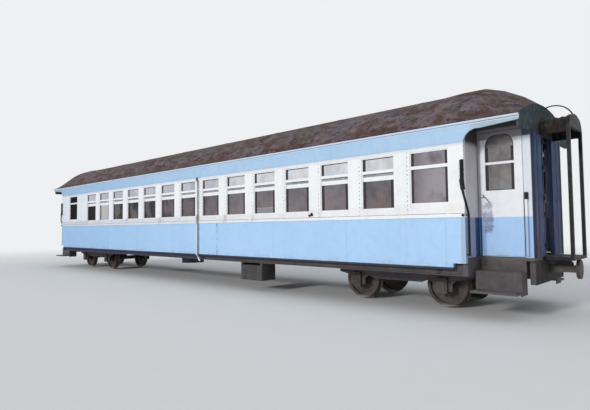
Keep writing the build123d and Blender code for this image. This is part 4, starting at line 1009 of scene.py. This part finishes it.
class COACH_OT_window_channels(Operator):
    """The black channels at the edges of the panes, wide as painted shade for the jambs, a black bar of
    painted shade in each drop window's toplight, the sash lifts, the weather strips and one lath
    """

    bl_idname = "coach.window_channels"
    bl_label = "Window channels"

    def execute(self, context):
        face, half = SASH_LOW.y + 0.0145, PANE_HALF
        toplight = (TRANSOM_TOP, SASH_HIGH.z - SASH_BAR)
        lower = (SASH_LOW.z + SASH_BAR, DROP_SASH_TOP - DROP_SASH_RAIL)
        fixed = (SASH_LOW.z + 0.080, TRANSOM_BOTTOM)
        # Each row is a low edge, a high edge and a pair of heights, for a window at X zero.
        # The channels are wide, and also stand in as painted shade for the dark jambs beside the panes.
        drop_rows = ((-half, 0.056 - half, toplight),
                     (-half, 0.060 - half, lower),
                     (half - 0.066, half, lower))
        fixed_rows = ((-half, 0.046 - half, toplight),
                      (half - 0.046, half, toplight),
                      (-half, 0.040 - half, fixed),
                      (half - 0.046, half, fixed))
        drops = places_at(DROP_SASH_MIDDLES)
        # Painted shade: a thin black bar under the head of each drop window's toplight.
        shade = level(octagon(0.014, 0.008, 0.002), -half, half, face, toplight[1] - 0.007)
        pieces = [replicate(self.strips(drop_rows, face), drops),
                  replicate(self.strips(fixed_rows, face), places_at(WINDOW_MIDDLES[[0, -1]])),
                  replicate(shade, drops)]
        build("window_channels", on_both_sides(merge(pieces)), "black_rubber")
        rail = SASH_LOW.y + 0.016
        lift = level(half_round(0.018, 0.007), -0.030, 0.030, rail, 0)
        x = np.concatenate([DROP_SASH_MIDDLES - 0.15, DROP_SASH_MIDDLES + 0.15])
        lifts = replicate(lift, places_at(x, 0, DROP_SASH_TOP - 0.5 * DROP_SASH_RAIL))
        build("sash_lifts", on_both_sides(lifts), "white_paint")
        strip = pad((-half, half), (rail + 0.001, rail + 0.009), (DROP_SASH_TOP, TRANSOM_BOTTOM - 0.010))
        build("weather_strips", on_both_sides(replicate(strip, drops)), "grey_felt")
        lath = pad((-half, half), (rail - 0.001, rail + 0.005), (LATH_BOTTOM, LATH_TOP))
        build("pane_lath", moved(lath, (LATH_MIDDLE, 0, 0)), "grey_felt")
        return {"FINISHED"}

    def strips(self, rows, face):
        """Upright channels between the edges and heights of each row."""
        return merge([upright(octagon(high - low, 0.008, 0.002), (low + high) / 2, face, bottom, top)
                      for low, high, (bottom, top) in rows])


class COACH_OT_door_fittings(Operator):
    """Gaskets, lever handle, lock plate, drip bar and seal of each side door"""

    bl_idname = "coach.door_fittings"
    bl_label = "Door fittings"

    def execute(self, context):
        low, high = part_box("door_glass_front_right")
        face, glass = -VESTIBULE_HALF, low.y
        corner = np.array([0.150, 0.200])
        gasket_y, top = (glass - 0.006, glass), high.z - corner[1]
        gasket = merge([pad((low.x, low.x + 0.048), gasket_y, (low.z, top)),
                        pad((high.x - 0.048, high.x), gasket_y, (low.z, top)),
                        pad((low.x, high.x), gasket_y, (low.z, low.z + 0.012)),
                        self.arch(low, high, glass - 0.005, corner)])
        left = self.spandrel(low, high, glass, corner)
        middle = (low.x + high.x) / 2
        right = moved(mirrored(moved(left, (-middle, 0, 0)), 0), (middle, 0, 0))
        handle = [(KNOB_X, face - 0.026, KNOB_Z), (KNOB_X + 0.05, face - 0.027, KNOB_Z - 0.02),
                  (KNOB_X + 0.116, face - 0.024, KNOB_Z - 0.112)]
        lever = swept(octagon(0.018, 0.012, 0.003), handle, (0.5, 0, 0.866), RIGHTWARD)
        rose = lathe([(0.030, 0), (0.030, 0.004), (0.022, 0.008), (0, 0.008)], 16, RIGHTWARD)
        rose = moved(rose, (KNOB_X, face, KNOB_Z))
        plate = pad((KNOB_X - 0.022, KNOB_X + 0.022), (face - 0.003, face), (1.760, 1.850))
        drip = level(half_round(0.030, 0.012), HALF + 0.012, DOOR_END, face, DRIP_HEIGHT)
        seal = pad((HALF + 0.7005, HALF + 0.7135), (face - 0.003, face), (DRIP_HEIGHT, POST_BRACKET), 0.001)
        fittings = (("gaskets", gasket, "black_rubber"),
                    ("lever", merge([lever, rose]), "lever_iron"),
                    ("trim", merge([drip, plate, left, right]), "door_paint"),
                    ("seal", seal, "black_rubber"))
        for end_name, end in ENDS:
            for side_name, side in SIDES:
                where = f"{end_name}_{side_name}"
                for kind, shape, finish in fittings:
                    build(f"door_{kind}_{where}", at_corner(shape, end, side), finish, f"swing_door_{where}")
        return {"FINISHED"}

    def quarter(self, low, high, corner):
        """A quarter of an ellipse in X and Z, from the window's left edge up to its top edge."""
        turn = np.linspace(0, math.pi / 2, 13)
        x = low.x + corner[0] * (1 - np.cos(turn))
        return np.stack([x, high.z - corner[1] * (1 - np.sin(turn))], -1)

    def arch(self, low, high, y, corner):
        """A thin seal round the window's top: a quarter ellipse, a straight run and a quarter ellipse."""
        left = self.quarter(low, high, corner)
        right = (left * (-1, 1) + (low.x + high.x, 0))[::-1]
        line = np.concatenate([left, right])
        inward = np.array([(low.x + high.x) / 2, high.z - corner[1]]) - line
        inward = inward / np.linalg.norm(inward, axis=1)[:, None]
        path = places_at(line[:, 0], y, line[:, 1])
        return swept(octagon(0.024, 0.006, 0.002), path, places_at(inward[:, 0], 0, inward[:, 1]), RIGHTWARD)

    def spandrel(self, low, high, glass, corner):
        """The plate between the quarter ellipse and the window's upper left corner, 8 mm thick."""
        inner = self.quarter(low, high, corner)
        margin, front, back = 0.006, glass - 0.009, glass - 0.001
        s = np.linspace(0, 1, len(inner))
        outer_x = low.x - margin + (corner[0] + margin) * np.clip(2 * s - 1, 0, 1)
        outer_z = high.z - corner[1] + (corner[1] + margin) * np.clip(2 * s, 0, 1)
        columns = [places_at(inner[:, 0], front, inner[:, 1]), places_at(outer_x, front, outer_z),
                   places_at(outer_x, back, outer_z), places_at(inner[:, 0], back, inner[:, 1])]
        points = np.stack(columns, 1).reshape(-1, 3)
        last = len(points) - 4
        caps = [[0, 3, 2, 1], [last, last + 1, last + 2, last + 3]]
        quads = np.concatenate([grid_faces(len(s), 4, wrap_columns=True), caps])
        return points, quads[:, ::-1], no_faces(3)


class COACH_OT_corner_fittings(Operator):
    """Rail brackets, corner stops and the lamp socket of the body corners"""

    bl_idname = "coach.corner_fittings"
    bl_label = "Corner fittings"

    def execute(self, context):
        face, rail_x, rail_y = -HALF_WIDTH, HALF - 0.024, -HALF_WIDTH - 0.034
        bracket_y = rail_y + 0.008
        line = [(rail_x - 0.004, bracket_y, 2.190), (rail_x + 0.004, bracket_y, 2.110),
                (rail_x + 0.016, bracket_y, 2.030)]
        bracket = swept(octagon(0.070, 0.044, 0.012), line, FORWARD, (0, 1, 0))
        foot = pad((rail_x - 0.030, rail_x + 0.022), (face - 0.006, face), (2.040, 2.150))
        top = pad((rail_x - 0.026, rail_x + 0.022), (face - 0.006, face), (2.440, 2.510))
        stop = lathe([(0.022, 0), (0.022, 0.012), (0.016, 0.020), (0, 0.022)], 12, RIGHTWARD)
        stop = moved(stop, (HALF - 0.022, face - 0.016, WAIST + 0.032))
        post_x, post_y = END_FACE - 0.080, -VESTIBULE_HALF - 0.030
        head = swept(octagon(0.052, 0.050, 0.012), [(post_x, post_y, 1.862), (post_x, post_y, 1.970)],
                     FORWARD, (0, 1, 0))
        strap = pad((rail_x - 0.032, rail_x + 0.030), (rail_y + 0.002, rail_y + 0.026), (2.180, 2.500), 0.006)
        shapes = [bracket, foot, top, stop, head, strap]
        build("corner_fittings", at_all_corners(merge(shapes)), "black_paint")
        socket = merge([pad((4.820, 4.935), (face - 0.014, face), (1.690, 1.722)),
                        pad((4.880, 4.925), (face - 0.020, face), (1.700, 1.752)),
                        pad((4.838, 4.862), (face - 0.012, face), (1.672, 1.700))])
        build("lamp_socket", socket, "black_paint")
        return {"FINISHED"}


class COACH_OT_roof_bands(Operator):
    """Cover bands over the roof's joints"""

    bl_idname = "coach.roof_bands"
    bl_label = "Roof bands"

    def execute(self, context):
        half, rise = -ROOF_LOW.y, ROOF_HIGH.z - ROOF_LOW.z
        radius = (half ** 2 + rise ** 2) / (2 * rise)
        reach = math.asin(half / radius) - 0.01
        turn = np.linspace(-reach, reach, 41)
        outward = np.stack([0 * turn, np.sin(turn), np.cos(turn)], -1)
        path = np.array([0, 0, ROOF_HIGH.z - radius]) + (radius - 0.001) * outward
        band = swept(half_round(0.038, 0.006), path, FORWARD, outward)
        places = row_of(ROOF_LOW.x + 0.45, ROOF_HIGH.x - 0.45, 2 * WINDOW_PITCH, 0, 0)
        build("roof_bands", replicate(band, places), "roof_paint", smooth=True)
        return {"FINISHED"}


class COACH_OT_step_treads(Operator):
    """Wooden slats, edge strips and bolts of the side steps"""

    bl_idname = "coach.step_treads"
    bl_label = "Step treads"

    def execute(self, context):
        low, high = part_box("steps_front")
        start, stop = low.x + 0.024, high.x - 0.024
        reach = (-VESTIBULE_HALF - low.y) / 2
        head = hex_bolt(0.009, RIGHTWARD)
        slats, bolts = [], []
        for number, top in enumerate(STEP_TOPS):
            edge = -VESTIBULE_HALF - reach * (number + 1)
            for slat in range(4):
                y = edge + 0.008 + slat * 0.058
                slats.append(pad((start, stop), (y, y + 0.040), (top, top + 0.008)))
            slats.append(pad((low.x + 0.004, high.x - 0.004), (edge + 0.0005, edge + 0.006),
                             (top - 0.026, top - 0.006), 0.001))
            bolts.append(replicate(head, row_of(start + 0.05, stop - 0.05, 0.19, edge + reach, top + 0.09)))
        build("step_slats", at_all_corners(merge(slats)), "step_wood")
        build("step_bolts", at_all_corners(merge(bolts)), "cast_steel")
        return {"FINISHED"}


class COACH_OT_end_trim(Operator):
    """Cover strips, doorway frame and catches of the end walls, and the gangway's bolts and tread bars"""

    bl_idname = "coach.end_trim"
    bl_label = "End wall trim"

    def execute(self, context):
        face, bottom, top = END_FACE, FLOOR_TOP, EAVE - 0.13
        edge, head = -END_DOOR_HALF, END_DOOR_TOP
        strips = [pad((face, face + 0.004), (-0.853, -0.815), (bottom, top), 0.001),
                  pad((face, face + 0.004), (-0.585, -0.560), (bottom, top), 0.001),
                  pad((face, face + 0.006), (edge - 0.042, edge), (bottom, head), 0.001),
                  pad((face, face + 0.006), (edge - 0.042, 0.0), (head, head + 0.035), 0.001)]
        build("end_wall_strips", at_all_corners(merge(strips)), "slate_blue_paint")
        catches = [pad((face, face + 0.022), (-0.300, -0.255), (z, z + 0.075), 0.004)
                   for z in (2.80, 2.36, 1.86, 1.60, 1.10)]
        catches.append(pad((face - 0.058, face - 0.002), (edge, edge + 0.008), (bottom, head)))
        build("end_door_catches", at_both_ends(merge(catches)), "black_paint")
        places = places_at(HOOP_HIGH.x - 0.025, HOOP_LOW.y, np.linspace(1.05, 2.85, 9))
        rivets = replicate(rivet(0.010, RIGHTWARD), places)
        build("hoop_rivets", at_all_corners(rivets), "black_paint", smooth=True)
        tread = bar((-0.006, -0.370, 0), (0.006, 0.370, 0.004), 0.0015)
        places = places_at(np.linspace(face + 0.03, HOOP_HIGH.x - 0.09, 9), 0, FLOOR_TOP)
        build("fall_plate_bars", at_both_ends(replicate(tread, places)), "cast_steel")
        places = [(HEADSTOCK_FACE, y, z) for y in (-0.72, -0.50, -0.25) for z in (0.60, 0.84)]
        build("headstock_bolts", at_all_corners(replicate(hex_bolt(0.014, FORWARD), places)), "cast_steel")
        return {"FINISHED"}


class COACH_OT_box_fittings(Operator):
    """Lids, hinges and hasps of the equipment boxes, and the straps of the downpipes"""

    bl_idname = "coach.box_fittings"
    bl_label = "Box and pipe fittings"

    def execute(self, context):
        low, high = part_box("equipment_boxes")
        half, face = 0.36, low.y
        middle = high.x - half
        lid = pad((middle - half + 0.02, middle + half - 0.02), (face - 0.006, face), (low.z + 0.02, 0.575))
        pieces = [pad((middle - half, middle + half), (face - 0.010, face), (0.580, 0.598))]
        for x in (middle - 0.24, middle + 0.24):
            pieces.append(pad((x - 0.02, x + 0.02), (face - 0.012, face), (0.500, 0.600)))
            pieces.append(pad((x - 0.012, x + 0.012), (face - 0.014, face), (low.z + 0.01, low.z + 0.09)))
        build("box_lids", self.at_pipes(lid), "box_paint")
        build("box_hinges", self.at_pipes(merge(pieces)), "cast_steel")
        pipe_y = -HALF_WIDTH - PIPE_RADIUS
        straps = [ring(PIPE_RADIUS, 0.004, 0.024, (PIPE_PLACE, pipe_y, z)) for z in PIPE_STRAPS]
        build("pipe_straps", self.at_pipes(merge(straps)), "pipe_paint")
        return {"FINISHED"}

    def at_pipes(self, shape):
        """A shape at the front right quarter and, turned half round, at the rear left one."""
        return merge([shape, at_corner(shape, -1, 1)])


class COACH_OT_bogie_details(Operator):
    """Rivets, horn bolts, axlebox lids and spring bolts of the bogies"""

    bl_idname = "coach.bogie_details"
    bl_label = "Bogie details"

    def execute(self, context):
        low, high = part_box("bogie_frame_front")
        box_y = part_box("axleboxes_front")[0].y
        spring_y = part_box("leaf_springs_front")[0].y
        axle_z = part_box("wheelset_front_outer")[1].z / 2
        centre, face = (low.x + high.x) / 2, low.y
        rows = [row_of(centre - 1.30, centre + 1.30, 0.115, face, 0.612),
                row_of(centre - 0.36, centre + 0.36, 0.09, face, 0.475)]
        studs = replicate(rivet(0.008, RIGHTWARD), np.concatenate(rows))
        horns = self.places(centre, (-0.137, 0.137), face, HORN_BOLTS)
        bolts = replicate(hex_bolt(0.010, RIGHTWARD), horns)
        lids = []
        for x in (centre + axle for axle in BOGIE_AXLES):
            lid_y = box_y - 0.014
            lids.append(pad((x - 0.066, x + 0.066), (lid_y, box_y), (axle_z - 0.075, axle_z + 0.085), 0.006))
            lids.append(pad((x - 0.050, x + 0.050), (box_y - 0.022, lid_y), (axle_z + 0.020, axle_z + 0.036)))
            corners = [(x + i * 0.052, lid_y, axle_z + 0.005 + j * 0.062) for i in (-1, 1) for j in (-1, 1)]
            lids.append(replicate(hex_bolt(0.007, RIGHTWARD), corners))
        ties = self.places(centre, (-0.026, 0.026), spring_y, (0.660, 0.700))
        hangers = self.places(centre, (-0.402, 0.402), spring_y + 0.008, (0.740,))
        springs = replicate(hex_bolt(0.008, RIGHTWARD), ties + hangers)
        details = (("bogie_rivets", merge([studs, bolts]), "underframe_paint"),
                   ("axlebox_lids", merge(lids), "cast_steel"),
                   ("spring_bolts", springs, "spring_steel"))
        for name, end in ENDS:
            for kind, shape, finish in details:
                build(f"{kind}_{name}", at_corner(on_both_sides(shape), end, -1), finish, f"bogie_{name}")
        return {"FINISHED"}

    def places(self, centre, besides, y, heights):
        """Places beside both axles of a bogie, at each height."""
        return [(centre + axle + beside, y, z) for axle in BOGIE_AXLES for beside in besides for z in heights]


class COACH_OT_rivets(Operator):
    """Rivet heads under both solebars"""

    bl_idname = "coach.rivets"
    bl_label = "Rivets"

    def execute(self, context):
        low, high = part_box("solebars")
        rows = row_of(low.x + 0.1, high.x - 0.1, settings().rivet_pitch, low.y + 0.03, low.z)
        rivets = replicate(rivet(settings().rivet_radius, DOWNWARD), rows)
        build("solebar_rivets", on_both_sides(rivets), "underframe_paint", smooth=True)
        return {"FINISHED"}


class COACH_OT_hoods(Operator):
    """The canvas hoods over the gangways, pleated between end wall and hoop"""

    bl_idname = "coach.hoods"
    bl_label = "Canvas hoods"

    def execute(self, context):
        for name, _ in ENDS:
            low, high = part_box(f"gangway_hood_{name}")
            piece = build(f"canvas_hood_{name}", canvas_hood(low, high), "canvas", smooth=True)
            solidify = piece.modifiers.new("thickness", "SOLIDIFY")
            solidify.thickness = 0.004
            solidify.offset = -1
            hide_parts(f"gangway_hood_{name}")
        return {"FINISHED"}


def canvas_hood(low, high, rows=65, columns=49):
    """A pleated arch: an outline of two uprights, two round shoulders and a low crown in Y and Z.

    The outline is a superellipse |y/a|^n + |z/b|^n = 1 over straight feet; pleats push it inward by
    depth * (1 - cos(2 pi k s)) / 2, with s from 0 to 1 along the hood, and lumps by
    0.012 * (1 + sin(9 t + 7 s) sin(11 s - 5 t)) / 2, with t the angle round the outline.
    """
    half, arch = (high.y - low.y) / 2, 0.24
    turn = np.linspace(0, math.pi, rows - 8)
    power = 2 / 2.6
    y = -half * np.sign(np.cos(turn)) * np.abs(np.cos(turn)) ** power
    z = high.z - arch + arch * np.sin(turn) ** power
    foot = low.z + np.linspace(0, 1, 5)[:-1] * (high.z - low.z - arch)
    y = np.concatenate([np.full(4, -half), y, np.full(4, half)])
    z = np.concatenate([foot, z, foot[::-1]])
    s = np.linspace(0, 1, columns)
    pleat = settings().hood_pleats * (1 - np.cos(2 * math.pi * 4 * s)) / 2
    sag = 0.010 * np.sin(math.pi * s)
    angle = np.arctan2(z - low.z, y)[:, None]
    lumps = 0.012 * (1 + np.sin(9 * angle + 7 * s) * np.sin(11 * s - 5 * angle)) / 2
    dent = (pleat + sag)[None, :] + lumps * np.sin(math.pi * s)
    all_y = y[:, None] * (1 - dent / half)
    all_z = low.z + (z[:, None] - low.z) * (1 - dent / (high.z - low.z))
    points = places_at(low.x + s * (high.x - low.x), all_y, all_z).reshape(-1, 3)
    return points, grid_faces(rows, columns), no_faces(3)


class COACH_OT_stage(Operator):
    """The pale floor, the soft light and the camera"""

    bl_idname = "coach.stage"
    bl_label = "Stage, light and camera"

    def execute(self, context):
        scene = context.scene
        scene.view_settings.view_transform = "Standard"
        self.floor()
        self.world(scene)
        sun = bpy.data.lights.new("soft_sun", "SUN")
        sun.energy = 1.55
        sun.angle = math.radians(8)
        lamp = bpy.data.objects.new("soft_sun", sun)
        scene.collection.objects.link(lamp)
        towards_light = Vector((-0.08, -0.95, 0.33))
        lamp.rotation_euler = towards_light.to_track_quat("Z", "Y").to_euler()
        self.camera(scene)
        return {"FINISHED"}

    def floor(self):
        """A wide pale floor that keeps the shadow near the coach and fades into the background."""
        mesh = bpy.data.meshes.new("floor_plate")
        corners = [(x * FLOOR_REACH, y * FLOOR_REACH, 0) for x, y in ((-1, -1), (1, -1), (1, 1), (-1, 1))]
        mesh.from_pydata(corners, [], [(0, 1, 2, 3)])
        floor = bpy.data.objects.new("floor_plate", mesh)
        bpy.context.scene.collection.objects.link(floor)
        finish = Finish("studio_floor", (0.80, 0.80, 0.80))
        finish.lay(finish.noise(3, 4), (0.83, 0.83, 0.825))
        plain = finish.add("ShaderNodeBsdfDiffuse", {"Color": finish.colour})
        glow = finish.add("ShaderNodeEmission", {"Color": BACKGROUND})
        away = finish.add("ShaderNodeVectorMath", {0: finish.place}, operation="LENGTH")
        fade = finish.rise(away.outputs["Value"], FADE_START, FADE_STOP)
        factor = finish.times(fade, finish.seen_directly())
        faded = finish.add("ShaderNodeMixShader", {0: factor, 1: plain.outputs[0], 2: glow.outputs[0]})
        finish.add("ShaderNodeOutputMaterial", {"Surface": faded.outputs[0]})
        mesh.materials.append(finish.material)

    def world(self, scene):
        """An even soft sky, shown as a pale backdrop."""
        scene.world = bpy.data.worlds.new("studio")
        nodes = NodeTree(scene.world)
        sky = nodes.add("ShaderNodeBackground", {"Color": (0.93, 0.96, 1.0), "Strength": 0.62})
        shown = nodes.add("ShaderNodeBackground", {"Color": BACKGROUND})
        inputs = {0: nodes.seen_directly(), 1: sky.outputs[0], 2: shown.outputs[0]}
        mix = nodes.add("ShaderNodeMixShader", inputs)
        nodes.add("ShaderNodeOutputWorld", {"Surface": mix.outputs[0]})

    def camera(self, scene):
        """A camera at the photograph's place: turned from +Y towards -X, tipped up and rolled a little."""
        data = bpy.data.cameras.new("camera")
        data.sensor_width = 36.0
        data.lens = 28.03
        data.clip_end = 500
        camera = bpy.data.objects.new("camera", data)
        camera.location = (10.968, -8.527, 1.461)
        heading, pitch, roll = math.radians(42.69), math.radians(2.81), math.radians(-0.579)
        look = Euler((math.pi / 2 + pitch, 0, heading), "XYZ").to_matrix()
        tilt = Euler((0, 0, roll), "XYZ").to_matrix()
        camera.rotation_euler = (look @ tilt).to_euler()
        scene.collection.objects.link(camera)
        scene.camera = camera


class COACH_PT_panel(Panel):
    """Lists the coach's settings and builders"""

    bl_label = "Passenger coach"
    bl_idname = "COACH_PT_panel"
    bl_space_type = "VIEW_3D"
    bl_region_type = "UI"
    bl_category = "Coach"

    def draw(self, context):
        for key in CoachSettings.__annotations__:
            self.layout.prop(context.scene.coach_settings, key)
        for builder in BUILDERS:
            self.layout.operator(builder.bl_idname)


BUILDERS = (
    COACH_OT_stage,
    COACH_OT_finish_solids,
    COACH_OT_side_trim,
    COACH_OT_window_channels,
    COACH_OT_door_fittings,
    COACH_OT_corner_fittings,
    COACH_OT_roof_bands,
    COACH_OT_step_treads,
    COACH_OT_end_trim,
    COACH_OT_box_fittings,
    COACH_OT_bogie_details,
    COACH_OT_rivets,
    COACH_OT_hoods,
)
CLASSES = (CoachSettings, *BUILDERS, COACH_PT_panel)


def register():
    for entry in CLASSES:
        bpy.utils.register_class(entry)
    bpy.types.Scene.coach_settings = PointerProperty(type=CoachSettings)


def unregister():
    del bpy.types.Scene.coach_settings
    for entry in reversed(CLASSES):
        bpy.utils.unregister_class(entry)


def main():
    register()
    for builder in BUILDERS:
        group, name = builder.bl_idname.split(".")
        getattr(getattr(bpy.ops, group), name)()


if __name__ == "__main__":
    main()
